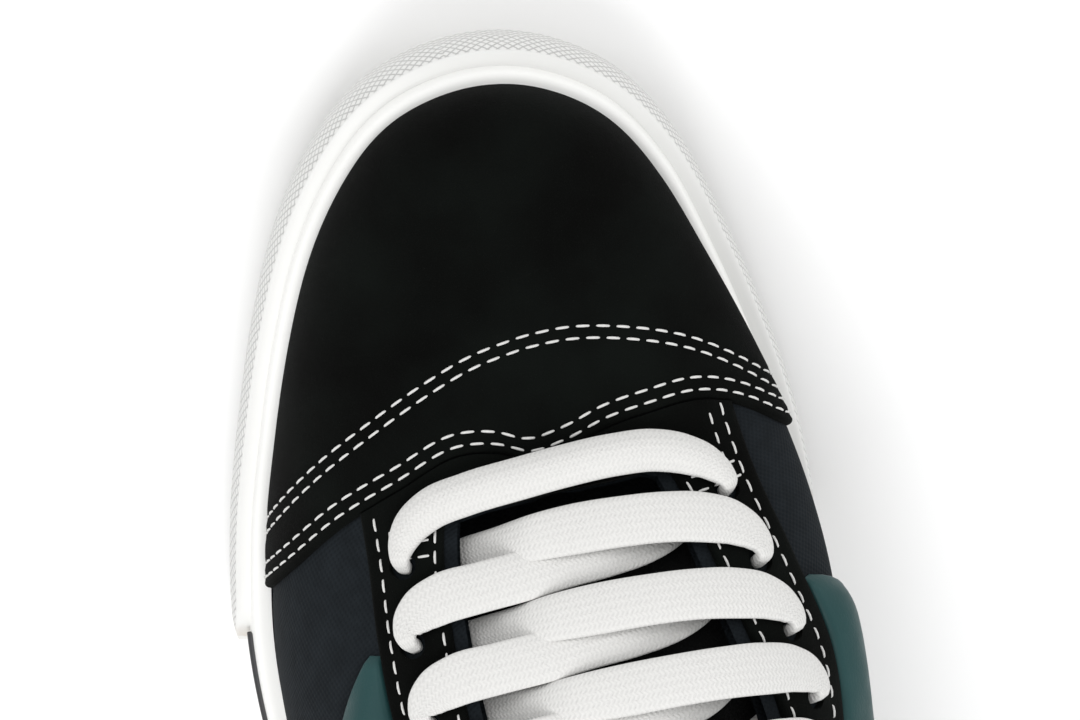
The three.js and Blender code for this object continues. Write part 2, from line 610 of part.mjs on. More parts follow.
function eyeletHoles() {
  const holes = [];
  for (let row = 0; row < EYELETS; row += 1) {
    for (const sign of [-1, 1]) {
      const { y, offset } = eyeletPlace(row);
      const { angle, rise } = surfaceAt(y, sign * offset);
      const hole = new THREE.CylinderGeometry(EYELET_RADIUS, EYELET_RADIUS, HOLE_DEPTH, EYELET_SIDES);
      const axis = new THREE.Vector3(0, 1, 0);
      hole.applyQuaternion(new THREE.Quaternion().setFromUnitVectors(axis, lastNormal(angle, rise)));
      hole.translate(...lastPoint(angle, rise).toArray());
      holes.push(solidOf(hole));
    }
  }
  return union(holes);
}

// Smooth step from 0 to 1.
function ease(value) {
  const t = THREE.MathUtils.clamp(value, 0, 1);
  return t * t * (3 - 2 * t);
}

// How far the padding stands out: full in the middle of the panel, low at its seams.
function puffAt(angle, rise) {
  const point = lastPoint(angle, rise);
  const offset = point.x - centreX(point.y);
  const fromEdge = (point.z - collarEdgeZ(point.y, offset > 0)) / PUFF_EDGE;
  const beside = (Math.abs(offset) - throatX(point.y) - legX(point.y)) / PUFF_SEAM;
  const fromSeam = point.y > THROAT_BACK ? beside : 1;
  const fromFront = (collarEnd(offset > 0) - point.y) / PUFF_FRONT;
  return OVERLAY + PUFF * Math.sqrt(ease(fromEdge) * ease(fromSeam) * ease(fromFront));
}

// Crossed grooves that part the tread into lugs, under one flat zone of the sole.
function treadCuts(from, to) {
  const cuts = [];
  for (const turn of [-1, 1]) {
    for (let y = from - HALF; y < to + HALF; y += LUG) {
      const groove = new THREE.BoxGeometry(FAR, LUG_GROOVE, 2 * LUG_DEPTH);
      groove.rotateZ(turn * Math.PI / 6);
      groove.translate(0, y, 0);
      cuts.push(solidOf(groove));
    }
  }
  const zone = prism([[-FAR, from], [FAR, from], [FAR, to], [-FAR, to]], -FAR, FAR);
  const rim = prism(stations.map((angle) => edge(angle, LUG_RIM).toArray()), -FAR, FAR);
  return union(cuts).intersect(zone).intersect(rim);
}

function makeOutsole() {
  const ringAt = (inset, height) => stations.map((angle) => {
    const point = edge(angle, inset);
    return new THREE.Vector3(point.x, point.y, height + lift(point.y));
  });
  const rows = [[SOLE_BEVEL, 0], [0, SOLE_BEVEL], [0, SOLE_EDGE], [SEAT, SOLE_EDGE], [SEAT, BED]];
  const whole = loft(rows.map(([inset, height]) => ringAt(inset, height)), { pole: true });
  return TREAD.reduce((sole, zone) => sole.subtract(treadCuts(yOf(zone.from), yOf(zone.to))), whole);
}

function leanAt(share) {
  const above = Math.max(1, FOXING_ROWS.findIndex((row) => row.height >= share));
  const [low, high] = [FOXING_ROWS[above - 1], FOXING_ROWS[above]];
  return FOXING_LEAN * THREE.MathUtils.mapLinear(share, low.height, high.height, low.lean, high.lean);
}

// A point on the foxing's outer face, moved out, on the straight run between two stations.
function foxingPoint(angle, share, out) {
  const step = Math.PI / STEPS;
  const start = Math.floor(angle / step + 1e-9) * step;
  const [here, next] = [start, start + step].map((station) => {
    const flat = edge(station, leanAt(share) - out);
    const bottom = SOLE_EDGE + GAP + lift(flat.y);
    return new THREE.Vector3(flat.x, flat.y, bottom + (foxingTop(station) - bottom) * share);
  });
  return here.lerp(next, (angle - start) / step);
}

// Shares of the foxing's height at which a band that ends at a share has its points.
const sharesTo = (top) => [...FOXING_ROWS.map((row) => row.height).filter((height) => height < top), top];

// A band on the foxing, through shares of its height, up to a distance from its outer face.
// Its ends are rounded down over an angle.
function band(from, to, shares, proud, rounding = 0) {
  const step = Math.PI / STEPS;
  const small = step / 12;
  const curve = rounding ? ROUNDING.map((part) => part * rounding) : [];
  const ends = [from, ...curve.map((part) => from + part), ...curve.map((part) => to - part), to];
  const inside = range(4 * STEPS + 1, -2 * STEPS, 2 * STEPS).map((i) => i * step);
  const clear = inside.filter((angle) => ends.every((end) => Math.abs(angle - end) > small));
  const angles = [...ends, ...clear.filter((angle) => angle > from && angle < to)].sort((a, b) => a - b);
  return loft(angles.map((angle) => {
    const near = rounding ? Math.min(1, (angle - from) / rounding, (to - angle) / rounding) : 1;
    const height = Math.max(ROUNDING[0], Math.sqrt(1 - (1 - near) ** 2));
    const outer = shares.map((share) => foxingPoint(angle, share * height, proud));
    const inner = shares.map((share) => foxingPoint(angle, share * height, GAP));
    return [...outer, ...inner.reverse()];
  }));
}

function makeFoxing() {
  const sections = stations.map((angle) => {
    const outer = sharesTo(1).slice(0, -1).map((share) => foxingPoint(angle, share, 0));
    const shoulder = foxingPoint(angle, 1, 0);
    const insets = [[FOXING_LEAN + FOXING_ROUND, 1], [FOXING_SEAT, 1], [FOXING_SEAT, 0]];
    const crown = insets.map(([inset, share]) => foxingPoint(angle, share, leanAt(share) - inset));
    return [...outer, shoulder.setZ(shoulder.z - FOXING_ROUND), ...crown];
  });
  return loft(sections, { ring: true });
}

function makeBumper() {
  const end = angleOf(BUMPER_END);
  return band(end, 2 * Math.PI - end, sharesTo(BUMPER_TOP), BUMPER, BUMPER_ROUND);
}

// The black line along one side: sign is 1 for the inner side, -1 for the outer one.
function makeStripe(sign) {
  const half = STRIPE / FOXING / 2;
  const front = angleOf(BUMPER_END) + BUMPER_MEETS * BUMPER_ROUND;
  const ends = [angleOf(HEEL_STRIP_END) + STRIPE_GAP, front - STRIPE_GAP];
  const [from, to] = sign > 0 ? ends : [-ends[1], -ends[0]];
  return band(from, to, [STRIPE_MIDDLE - half, STRIPE_MIDDLE + half], STRIPE_PROUD);
}

function makeHeelStrip() {
  const end = angleOf(HEEL_STRIP_END);
  return band(-end, end, sharesTo(HEEL_STRIP_TOP), HEEL_STRIP);
}

function makeInsole() {
  const ringAt = (height) => stations.map((angle) => {
    const point = edge(angle, SEAT + WALL + GAP);
    return new THREE.Vector3(point.x, point.y, height + lift(point.y));
  });
  return loft([ringAt(BED + GAP), ringAt(BED + GAP + INSOLE)], { pole: true });
}

function makeUpper() {
  const shell = lastBody(0).subtract(lastBody(-WALL, { drop: BED / 2 }));
  return shell.subtract(throatPlan(0)).subtract(aboveRim(0)).subtract(eyeletHoles());
}

function makeToeCap() {
  return overlay(OVERLAY).intersect(prism(capPlan(0), SOLE_EDGE, FAR));
}

function makeEyestay() {
  const legs = overlay(OVERLAY).intersect(eyestayPlan(0, THROAT_BACK));
  const cut = legs.subtract(prism(capPlan(GAP), SOLE_EDGE, FAR)).subtract(throatPlan(EYESTAY_SET));
  return cut.subtract(aboveRim(0)).subtract(eyeletHoles());
}

function makeCounter() {
  return overlay(OVERLAY).intersect(prism(counterSide(), -FAR, FAR, true));
}

// The padded roll round the rim, as a tube that the upper's wall runs up into.
function rimRoll() {
  const end = angleOf(ROLL_END);
  const path = range(ROLL_PATH, -end, end);
  const sections = path.map((angle) => {
    const rise = findRise(angle, (point) => point.z > rimZ(point.y) - ROLL / 2);
    const centre = skin(angle, rise, -WALL / 2);
    const out = lastNormal(angle, rise);
    const up = new THREE.Vector3(0, 0, 1).addScaledVector(out, -out.z).normalize();
    const size = ROLL_THIN + (1 - ROLL_THIN) * ease((yOf(ROLL_END) - centre.y) / ROLL_GROWS);
    return range(ROLL_SIDES + 1, 0, 2 * Math.PI).slice(1).map((turn) => centre.clone()
      .addScaledVector(out, (PUFF + WALL) * size * Math.cos(turn))
      .addScaledVector(up, ROLL * size * Math.sin(turn)));
  });
  return loft(sections);
}

function makeCollar() {
  const shell = lastBody(puffAt, { raise: GAP }).subtract(lastBody(GAP, { drop: BED / 2 }));
  const panel = shell.intersect(collarSide(true).add(collarSide(false))).subtract(aboveRim(0));
  const room = lastBody(GAP, { drop: BED }).subtract(lastBody(-WALL - GAP, { drop: 2 * BED }));
  const wall = room.subtract(aboveRim(GAP));
  return panel.add(rimRoll()).subtract(wall).subtract(eyestayPlan(GAP, THROAT_BACK - GAP));
}

// The tongue: a padded strip under the ridge, thicker between the eyestay's legs. Past the throat
// it leaves the last and ends in an arch of its own.
function makeTongue() {
  const ys = range(TONGUE_PATH, TONGUE_FRONT, TONGUE_BACK);
  const sections = ys.map((y) => {
    const free = ease((THROAT_BACK - y + TONGUE_LEAVES) / (THROAT_BACK - TONGUE_BACK + TONGUE_LEAVES));
    const end = Math.min(1, TONGUE_TIP + Math.min(y - TONGUE_BACK, TONGUE_FRONT - y) / TONGUE_TAPER);
    const half = TONGUE_HALF + (TONGUE_END - TONGUE_HALF) * free;
    const crest = FORM_TOP * ridgeHeight(shareOf(y)) + TONGUE_RISE;
    const at = (share, depth) => {
      const { angle, rise } = surfaceAt(y, (share || 1e-3) * half);
      const held = skin(angle, rise, -depth);
      const height = crest - TONGUE_ARCH * share * share - depth;
      return held.lerp(new THREE.Vector3(centreX(y) + share * half, y, height), free);
    };
    const crown = (share) => LACE_ROOM + (WALL + GAP - LACE_ROOM) * ease(1 - 2 * Math.abs(share));
    const thick = (share) => TONGUE_THICK * (1 - (1 - TONGUE_SIDE) * share * share) * Math.sqrt(end);
    const top = (share) => crown(share) + (TONGUE_THICK - thick(share)) * TONGUE_THINS;
    const upper = ACROSS.map((share) => at(share, top(share)));
    const lower = ACROSS.map((share) => at(share, top(share) + thick(share)));
    return [...upper, ...lower.reverse()];
  });
  return loft(sections);
}

// A flat body along a route of stations: length y, offset from the ridge, height out and width.
// It lies flat on the last. Where it goes down a hole, its width keeps the direction it had above.
function ribbon(route) {
  const places = route.map(({ y, offset }) => surfaceAt(y, offset));
  const points = places.map(({ angle, rise }, i) => skin(angle, rise, route[i].out));
  const alongs = points.map((_, i) => {
    const next = points[Math.min(i + 1, points.length - 1)];
    return next.clone().sub(points[Math.max(i - 1, 0)]).normalize();
  });
  const across = places.map(({ angle, rise }, i) => lastNormal(angle, rise).cross(alongs[i]));
  const level = [...points.keys()].filter((i) => across[i].length() > LEVEL);
  const sections = points.map((place, i) => {
    const along = alongs[i];
    const nearest = level.reduce((best, j) => (Math.abs(j - i) < Math.abs(best - i) ? j : best));
    const flat = across[nearest];
    const side = flat.clone().addScaledVector(along, -along.dot(flat)).normalize();
    const up = along.clone().cross(side);
    const wide = route[i].width / 2;
    const neck = (LACE_WIDTH - route[i].width) / (LACE_WIDTH * (1 - LACE_NECK));
    const thick = LACE_THICK / 2 * (1 + (NECK_THICK - 1) * neck);
    const corners = [[-1, 1], [1, 1], [1, -1], [-1, -1]];
    return corners.map(([u, v]) => {
      return place.clone().addScaledVector(side, u * wide).addScaledVector(up, v * thick);
    });
  });
  return loft(sections);
}

function eyeletPlace(row) {
  const y = EYELET_FIRST - row * EYELET_PITCH;
  return { y, offset: throatX(y) + EYELET_PLACE * legX(y) };
}

// Stations of a strand from the eyelet of one row to that of another.
function laceRoute(table, row, landing, sign) {
  const from = eyeletPlace(row);
  const to = eyeletPlace(landing);
  return table.map(({ side, ahead, height, width }) => ({
    y: from.y + ahead * EYELET_PITCH,
    offset: sign * side * (side < 0 ? from : to).offset,
    out: LACE_UNDER + height * (LACE_OVER - LACE_UNDER),
    width: width * LACE_WIDTH,
  }));
}

// The first bar, then in each row a strand that runs below its neighbour where they cross.
function makeLace() {
  const routes = [laceRoute(BAR, 0, 0, 1)];
  for (let row = 0; row < EYELETS - 1; row += 1) {
    routes.push(laceRoute(OVER, row, row + 1, 1), laceRoute(UNDER, row, row + 1, -1));
  }
  return union(routes.map(ribbon));
}

function material(name) {
  return new THREE.MeshStandardMaterial({ metalness: 0, ...MATERIALS[name] });
}

function meshOf(name, solid) {
  const { vertProperties, triVerts } = solid.getMesh();
  const geometry = new THREE.BufferGeometry();
  geometry.setAttribute('position', new THREE.Float32BufferAttribute(vertProperties, 3));
  geometry.setIndex(Array.from(triVerts));
  geometry.computeVertexNormals();
  const mesh = new THREE.Mesh(geometry, material(name));
  mesh.name = name;
  return mesh;
}

const group = new THREE.Group();
group.add(
  meshOf('outsole', makeOutsole()),
  meshOf('foxing', makeFoxing()),
  meshOf('foxing_stripe_outer', makeStripe(-1)),
  meshOf('foxing_stripe_inner', makeStripe(1)),
  meshOf('toe_bumper', makeBumper()),
  meshOf('heel_strip', makeHeelStrip()),
  meshOf('upper', makeUpper()),
  meshOf('toe_cap', makeToeCap()),
  meshOf('eyestay', makeEyestay()),
  meshOf('collar', makeCollar()),
  meshOf('heel_counter', makeCounter()),
  meshOf('tongue', makeTongue()),
  meshOf('insole', makeInsole()),
  meshOf('lace', makeLace()),
);

export default group;
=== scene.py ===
import math

import bpy
import bmesh
import numpy as np
from mathutils import Matrix, Vector


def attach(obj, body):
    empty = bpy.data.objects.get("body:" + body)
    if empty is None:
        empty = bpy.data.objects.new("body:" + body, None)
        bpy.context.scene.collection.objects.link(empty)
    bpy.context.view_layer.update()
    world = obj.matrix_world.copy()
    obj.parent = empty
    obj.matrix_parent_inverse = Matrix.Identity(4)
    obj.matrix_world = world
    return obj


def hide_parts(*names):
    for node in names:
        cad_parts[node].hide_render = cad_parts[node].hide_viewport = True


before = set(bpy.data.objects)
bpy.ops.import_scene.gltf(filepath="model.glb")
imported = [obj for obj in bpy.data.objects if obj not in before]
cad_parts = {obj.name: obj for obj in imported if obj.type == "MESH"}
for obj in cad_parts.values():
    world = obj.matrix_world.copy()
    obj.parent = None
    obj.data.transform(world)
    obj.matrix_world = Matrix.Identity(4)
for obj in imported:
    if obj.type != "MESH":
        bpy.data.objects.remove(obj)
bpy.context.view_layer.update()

MM = 0.001
PI = math.pi

# Camera and light
CAMERA_AT = (2.65, 241.2, 600.0)
CAMERA_LOOKS_AT = (10.65, 91.2, 30.0)
CAMERA_ROLL = -13.0           # degrees
LENS = 108.0
SENSOR = 36.0
FLOOR_SIZE = 4000.0
FLOOR_WHITE = 0.92
WORLD_LIGHT = 0.72
LIGHTS = [                    # name, place, sides, watts
    ("key", (-250, -450, 1000), (600, 600), 6.2),
    ("fill", (700, 300, 600), (500, 500), 1.8),
    ("front", (-400, 700, 700), (700, 500), 2.2),
]
LIGHTS_AIM = (0, 40, 40)

# Whole shoe
LENGTH = 300.0
WIDTH = 114.0
GAP = 0.3                     # between pieces that meet

# Sole
SOLE_EDGE = 3.0
SOLE_BEVEL = 1.2
BED = 12.0
TOE_SPRING = 8.0
HEEL_SPRING = 1.4
WAIST_LIFT = 0.8
TOE_LIFTS = 0.74              # share of the length where the toe spring starts
TOE_CURVE = 1.8
HEEL_LIFTS = 0.06             # and where the heel's ends
WAIST_FROM = 0.34
WAIST_TO = 0.58
LUG = 24.0
LUG_GROOVE = 2.0
LUG_DEPTH = 1.5
LUG_RIM = 6.0                 # plain border round the tread
LUG_TURN = PI / 6             # of the grooves from straight across
INSOLE = 4.0
FOXING = 27.0
FOXING_SEAT = 5.4
FOXING_LEAN = 2.3
FOXING_ROUND = 1.0
STRIPE = 2.0
STRIPE_PROUD = 0.9
STRIPE_MIDDLE = 0.7           # share of the foxing's height
STRIPE_GAP = 0.006            # to its neighbours, in radians round the sole
BUMPER = 2.6
BUMPER_END = 0.652            # share of the length
BUMPER_TOP = 0.8              # share of the foxing's height
BUMPER_ROUND = 0.11           # radians over which its ends round down
BUMPER_MEETS = 0.40           # share of that rounding where the stripe starts
BUMPER_FADES = 7.0            # length over which its ends thin out
HEEL_STRIP = 1.4
HEEL_STRIP_END = 0.05
HEEL_STRIP_TOP = 0.9
BAND_EDGE = 0.9               # rounding of a band's top edge
BAND_END = 1.2                # and of its ends

# Upper
WALL = 2.4
OVERLAY = 1.5
OVERLAY_EDGE = 0.8            # rounding of an overlay's cut edge
OVERLAY_BASE = 0.1            # its underside above the canvas
OVERLAY_FOOT = 0.4            # its foot below the foxing's top
FURROW_WIDE = 0.7
COLLAR = 78.0
FORM_TOP = 1.36 * COLLAR
BULGE = 9.0
BULGE_LOW = 0.8
PUFF = 5.6                    # padding, and the ways over which it rises from its borders
PUFF_EDGE = 12.0
PUFF_SEAM = 10.0
PUFF_FRONT = 14.0
PUFF_BEHIND = 12.0
ROLL = 7.0
ROLL_END = 0.450              # share of the length
ROLL_THIN = 0.3               # share of its size at the ends
ROLL_GROWS = 50.0
THROAT_FRONT = 0.25 * LENGTH
THROAT_BACK = -0.03 * LENGTH
EYESTAY_LOW = 0.59 * COLLAR
EYESTAY_SET = 2.3             # suede's inner edge outside the canvas's one
EYESTAY_FURROW = 0.18
CAP_FURROW = 0.22
CAP_DROP = 5.0                # how far the cap's lines run back at the foot
CAP_DROPS = 0.45              # from this rise down

# Lace and tongue
EYELETS = 6
EYELET_FIRST = THROAT_FRONT - 6.5
EYELET_LAST = THROAT_BACK + 15.0
EYELET_PLACE = 0.60
EYELET_RADIUS = 2.5
HOLE_DEPTH = 12.0
LACE_WIDTH = 9.0
LACE_THICK = 1.7
LACE_NECK = 0.30              # share of its width in the eyelets
NECK_THICK = 1.3              # share of its thickness there
LEVEL = 0.72                  # where a strand is too steep to take its tilt from the last
STRAND_CROWN = 0.35
BAR_CROWN = 2.2
STRAND_STEPS = 150
STRAND_SIDES = 26
STRAND_SQUARE = 0.6           # how square the section is
TONGUE_THICK = 5.0
TONGUE_SIDE = 0.4
TONGUE_THINS = 1 / 3
TONGUE_TAPER = 5.0
TONGUE_TIP = 0.3
TONGUE_FRONT = THROAT_FRONT - 5.0
TONGUE_BACK = -0.1 * LENGTH
TONGUE_HALF = 28.0
TONGUE_END = 22.0
TONGUE_RISE = 18.0
TONGUE_LEAVES = -2.0
TONGUE_ARCH = 11.0

# Stitches
STITCH_LONG = 2.6
STITCH_PITCH = 3.6
STITCH_RADIUS = 0.21
STITCH_OUT = OVERLAY - 0.1    # their line above the canvas
STITCH_RINGS = [              # share of the length, share of the radius, height
    (0.00, 0.30, -0.25), (0.14, 0.85, 0.06), (0.50, 1.00, 0.16), (0.86, 0.85, 0.06),
    (1.00, 0.30, -0.25),
]
STITCH_SIDES = 6
CAP_STITCHES = (3.7, 1.6)     # ahead of the cap's edge
SEAM_STITCHES = (0.0, -2.1)   # ahead of its seam
ROW_FOOT = 0.03               # rise where the rows across the cap start
LEG_STITCH = 2.5              # inside the eyestay's outer edge
LEG_STITCH_TWO = 4.8          # the second row there
THROAT_STITCH = 1.3           # outside its inner edge
LEG_STITCH_ENDS = ((-1, 77.0), (1, 84.0))  # side, front end
THROAT_STITCH_END = 74.0
TWO_FROM = 71.5               # where the second row starts
BAR_STITCHES = (69.5, 72.0)   # rows across each leg
BAR_SHARES = (0.25, 0.84)     # and their ends, as shares of the leg
STITCHES_START = 3.0          # ahead of the throat's back end
COUNTER_STITCHES = (1.8, 4.0)
COUNTER_STITCH_LOW = 0.08

HALF = WIDTH / 2 - BUMPER
HEEL = -LENGTH / 2 + HEEL_STRIP
TOE = LENGTH / 2 - BUMPER
SEAT = FOXING_SEAT + GAP
EYELET_PITCH = (EYELET_FIRST - EYELET_LAST) / (EYELETS - 1)
LACE_ROOM = WALL + 5 * GAP + LACE_THICK
LACE_UNDER = -(WALL + 3 * GAP + LACE_THICK / 2)
LACE_OVER = OVERLAY + 2 * GAP + LACE_THICK / 2

# Plan of the sole: share of the length, then shares of HALF to the outer and the inner side.
SOLE_PLAN = [
    (0.000, -0.060, -0.060), (0.030, -0.420, 0.310), (0.090, -0.650, 0.530), (0.180, -0.770, 0.640),
    (0.300, -0.850, 0.670), (0.420, -0.935, 0.750), (0.520, -1.000, 0.845), (0.600, -1.030, 0.930),
    (0.670, -1.005, 0.985), (0.740, -0.920, 0.984), (0.800, -0.809, 0.939), (0.860, -0.679, 0.870),
    (0.910, -0.543, 0.794), (0.955, -0.362, 0.659), (0.988, -0.137, 0.433), (1.000, 0.156, 0.156),
]

# The last: share of the length, foxing height, bulge outer and inner, fullness outer and inner.
SECTIONS = [
    (0.00, 1.15, 0.35, 0.35, 2.5, 2.5), (0.20, 1.08, 0.30, 0.50, 2.2, 2.3),
    (0.40, 1.00, 0.15, 0.90, 2.0, 2.8), (0.55, 0.98, 0.10, 1.00, 2.0, 2.8),
    (0.70, 0.97, 0.05, 0.66, 2.2, 2.7), (0.80, 0.94, 0.02, 0.38, 2.3, 2.5),
    (0.90, 0.90, 0.00, 0.10, 2.3, 2.4), (1.00, 0.86, 0.00, 0.00, 2.3, 2.3),
]

# The ridge: share of the length, height as a share of FORM_TOP, sideways as a share of HALF.
RIDGE = [
    (0.150, 1.000, -0.020), (0.250, 1.000, 0.010), (0.370, 0.980, 0.095), (0.470, 0.935, 0.160),
    (0.550, 0.870, 0.185), (0.620, 0.790, 0.190), (0.670, 0.712, 0.165), (0.720, 0.622, 0.147),
    (0.770, 0.543, 0.140), (0.820, 0.492, 0.143), (0.875, 0.462, 0.152),
]
HEEL_POLE = 0.15
TOE_POLE = 0.125
POLE_REACH = 0.45
SHARP_FROM = 42.0             # degrees between faces that keep a hard edge
SOLE_SHARP_FROM = 30.0

# Edges in side view: share of the length, height as a share of COLLAR.
RIM = [
    (0.000, 1.000), (0.060, 0.985), (0.150, 0.920), (0.260, 0.850), (0.340, 0.860),
    (0.400, 0.930), (0.440, 1.050), (0.465, 1.180), (0.475, 1.240),
]
COLLAR_OUTER = [
    (0.000, 0.720), (0.120, 0.640), (0.300, 0.585), (0.450, 0.640), (0.560, 0.720), (0.637, 0.777),
    (0.695, 0.806),
]
COLLAR_INNER = [
    (0.000, 0.720), (0.120, 0.640), (0.300, 0.560), (0.450, 0.550), (0.560, 0.560), (0.620, 0.590),
    (0.652, 0.650), (0.675, 0.790),
]
COUNTER_EDGE = [(0.30, 0.235), (0.45, 0.190), (0.58, 0.125), (0.66, 0.060)]  # height, then along

# Plan of the throat: share of the length, half width and the leg beside it as shares of HALF.
THROAT = [
    (0.470, 0.420, 0.170), (0.520, 0.435, 0.190), (0.570, 0.445, 0.230), (0.620, 0.435, 0.268),
    (0.690, 0.395, 0.280), (0.738, 0.350, 0.285), (0.772, 0.290, 0.330),
]

# Lines across the toe cap in plan: sideways as a share of HALF, then share of the length.
CAP_EDGE = [
    (-1.20, 0.672), (-0.88, 0.718), (-0.73, 0.736), (-0.53, 0.759), (-0.34, 0.774), (-0.12, 0.787),
    (0.00, 0.783), (0.09, 0.775), (0.21, 0.777), (0.35, 0.784), (0.49, 0.786), (0.65, 0.784),
    (0.80, 0.771), (0.92, 0.754), (1.20, 0.716),
]
CAP_SEAM = [
    (-1.20, 0.690), (-0.79, 0.764), (-0.59, 0.791), (-0.39, 0.813), (-0.20, 0.830), (-0.03, 0.841),
    (0.14, 0.845), (0.30, 0.845), (0.47, 0.837), (0.64, 0.822), (0.80, 0.800), (0.93, 0.778),
    (1.20, 0.740),
]
TREAD = [(0.070, 0.330), (0.590, 0.740)]  # flat zones of the sole that carry lugs
FOXING_ROWS = [(0.00, 0.00), (0.35, 0.00), (0.60, 0.30), (0.80, 0.68), (1.00, 1.00)]  # height, lean


def spline(knots, values):
    """A smooth curve through knots, with slopes weighted by the spacing."""
    knots = np.array(knots, float)
    values = np.array(values, float)
    steps = np.diff(knots)
    rises = np.diff(values) / steps
    slopes = np.zeros(len(knots))
    slopes[1:-1] = (steps[1:] * rises[:-1] + steps[:-1] * rises[1:]) / (steps[:-1] + steps[1:])
    slopes[0] = (3 * rises[0] - slopes[1]) / 2
    slopes[-1] = (3 * rises[-1] - slopes[-2]) / 2

    def curve(x):
        at = np.clip(x, knots[0], knots[-1])
        i = np.clip(np.searchsorted(knots, at) - 1, 0, len(steps) - 1)
        t = (at - knots[i]) / steps[i]
        pull = steps[i] * t * (1 - t) * (slopes[i] * (1 - t) - slopes[i + 1] * t)
        return values[i] + (values[i + 1] - values[i]) * t * t * (3 - 2 * t) + pull

    return curve


def curve_of(rows, column):
    return spline([row[0] for row in rows], [row[column] for row in rows])


def angle_of(along):
    return np.arccos(1 - 2 * np.clip(along, 0, 1))


def along_of(angle):
    return (1 - np.cos(angle)) / 2


def turns(count):
    """Angles that divide a full turn."""
    return np.linspace(0, 2 * PI, count, endpoint=False)


def on_side(angle, sign):
    """An angle of the inner side, or its mirror image on the outer side."""
    return np.where(sign > 0, angle, 2 * PI - angle)


def y_of(along):
    return HEEL + (TOE - HEEL) * along


def share_of(y):
    return (y - HEEL) / (TOE - HEEL)


def ring_of(rows, outer, inner):
    """A closed curve round the shoe through a column for each side."""
    there = [(float(angle_of(row[0])), row[inner]) for row in rows]
    back = [(2 * PI - float(angle_of(row[0])), row[outer]) for row in rows[-2:0:-1]]
    once = there + back
    before = [(angle - 2 * PI, value) for angle, value in once[-4:]]
    after = [(angle + 2 * PI, value) for angle, value in once[:4]]
    knots = before + once + after
    curve = spline([knot[0] for knot in knots], [knot[1] for knot in knots])
    return lambda angle: curve(np.mod(angle, 2 * PI))


plan_x = ring_of(SOLE_PLAN, 1, 2)
bulge_at = ring_of(SECTIONS, 2, 3)
full_at = ring_of(SECTIONS, 4, 5)
foxing_at = curve_of(SECTIONS, 1)
ridge_height = curve_of(RIDGE, 1)
ridge_side = curve_of(RIDGE, 2)
rim_height = curve_of(RIM, 1)
collar_outer = curve_of(COLLAR_OUTER, 1)
collar_inner = curve_of(COLLAR_INNER, 1)
throat_half = curve_of(THROAT, 1)
leg_share = curve_of(THROAT, 2)
cap_edge = curve_of(CAP_EDGE, 1)
cap_seam = curve_of(CAP_SEAM, 1)
counter_edge = curve_of(COUNTER_EDGE, 1)


def centre_x(y):
    return HALF * ridge_side(share_of(y))


def rim_z(y):
    return COLLAR * rim_height(share_of(y))


def collar_edge_z(x, y):
    share = share_of(y)
    return COLLAR * np.where(x > centre_x(y), collar_inner(share), collar_outer(share))


def collar_end(inner):
    return y_of((COLLAR_INNER if inner else COLLAR_OUTER)[-1][0])


def throat_x(y):
    return HALF * throat_half(share_of(y))


def leg_x(y):
    return HALF * leg_share(share_of(y))


def ease(value):
    t = np.clip(value, 0, 1)
    return t * t * (3 - 2 * t)


def lift(y):
    """How far the sole's bottom stands off the floor."""
    along = share_of(y)
    toe = np.maximum(0, (along - TOE_LIFTS) / (1 - TOE_LIFTS))
    heel = np.maximum(0, 1 - along / HEEL_LIFTS)
    waist = np.clip((along - WAIST_FROM) / (WAIST_TO - WAIST_FROM), 0, 1)
    return TOE_SPRING * toe ** TOE_CURVE + HEEL_SPRING * heel ** 2 + WAIST_LIFT * np.sin(PI * waist) ** 2


def edge(angle, inset):
    """A point (x, y) of the sole's outline, moved in by an inset."""
    small = 0.01
    x, y = HALF * plan_x(angle), y_of(along_of(angle))
    dx = HALF * (plan_x(angle + small) - plan_x(angle - small))
    dy = y_of(along_of(angle + small)) - y_of(along_of(angle - small))
    size = np.hypot(dx, dy)
    return x - dy / size * inset, y + dx / size * inset


def foxing_top(angle):
    along = along_of(angle)
    return lift(y_of(along)) + FOXING * foxing_at(along)


def last_point(angle, rise):
    """rise is -1 at the feather edge, 0 at the foxing's top, 1 on the ridge."""
    angle, rise = together(angle, rise)
    base_x, base_y = edge(angle, SEAT)
    top = foxing_top(angle)
    low_z = top + rise * (top - BED - GAP - lift(base_y))
    along = along_of(angle)
    heel_pull = np.maximum(0, 1 - along / POLE_REACH) ** 2
    toe_pull = np.maximum(0, 1 - (1 - along) / POLE_REACH) ** 2
    ridge_along = along + HEEL_POLE * heel_pull - TOE_POLE * toe_pull
    across = np.cos(np.clip(rise, 0, 1) * PI / 2)
    full = full_at(angle)
    up = np.maximum(0, 1 - across ** full) ** (1 / full)
    out = BULGE * bulge_at(angle) * np.sin(PI * up ** BULGE_LOW) ** 2
    foot_x, foot_y = edge(angle, SEAT - out)
    ridge_x, ridge_y = HALF * ridge_side(ridge_along), y_of(ridge_along)
    x = ridge_x + (foot_x - ridge_x) * across
    y = ridge_y + (foot_y - ridge_y) * across
    z = top + (FORM_TOP * ridge_height(ridge_along) - top) * up
    low = rise <= 0
    return np.stack([np.where(low, base_x, x), np.where(low, base_y, y), np.where(low, low_z, z)], -1)


def together(*values):
    """Values as arrays of numbers of one shape."""
    return np.broadcast_arrays(*(np.asarray(value, float) for value in values))


def halve(low, high, is_past, steps):
    """Closes in between two values on where a test starts to pass."""
    for _ in range(steps):
        middle = (low + high) / 2
        past = is_past(middle)
        low, high = np.where(past, low, middle), np.where(past, middle, high)
    return low, high


def unit(vectors):
    return vectors / np.maximum(np.linalg.norm(vectors, axis=-1, keepdims=True), 1e-12)


def run_of(line):
    """The way along a line up to each of its points."""
    return np.concatenate([[0], np.cumsum(np.linalg.norm(np.diff(line, axis=0), axis=-1))])


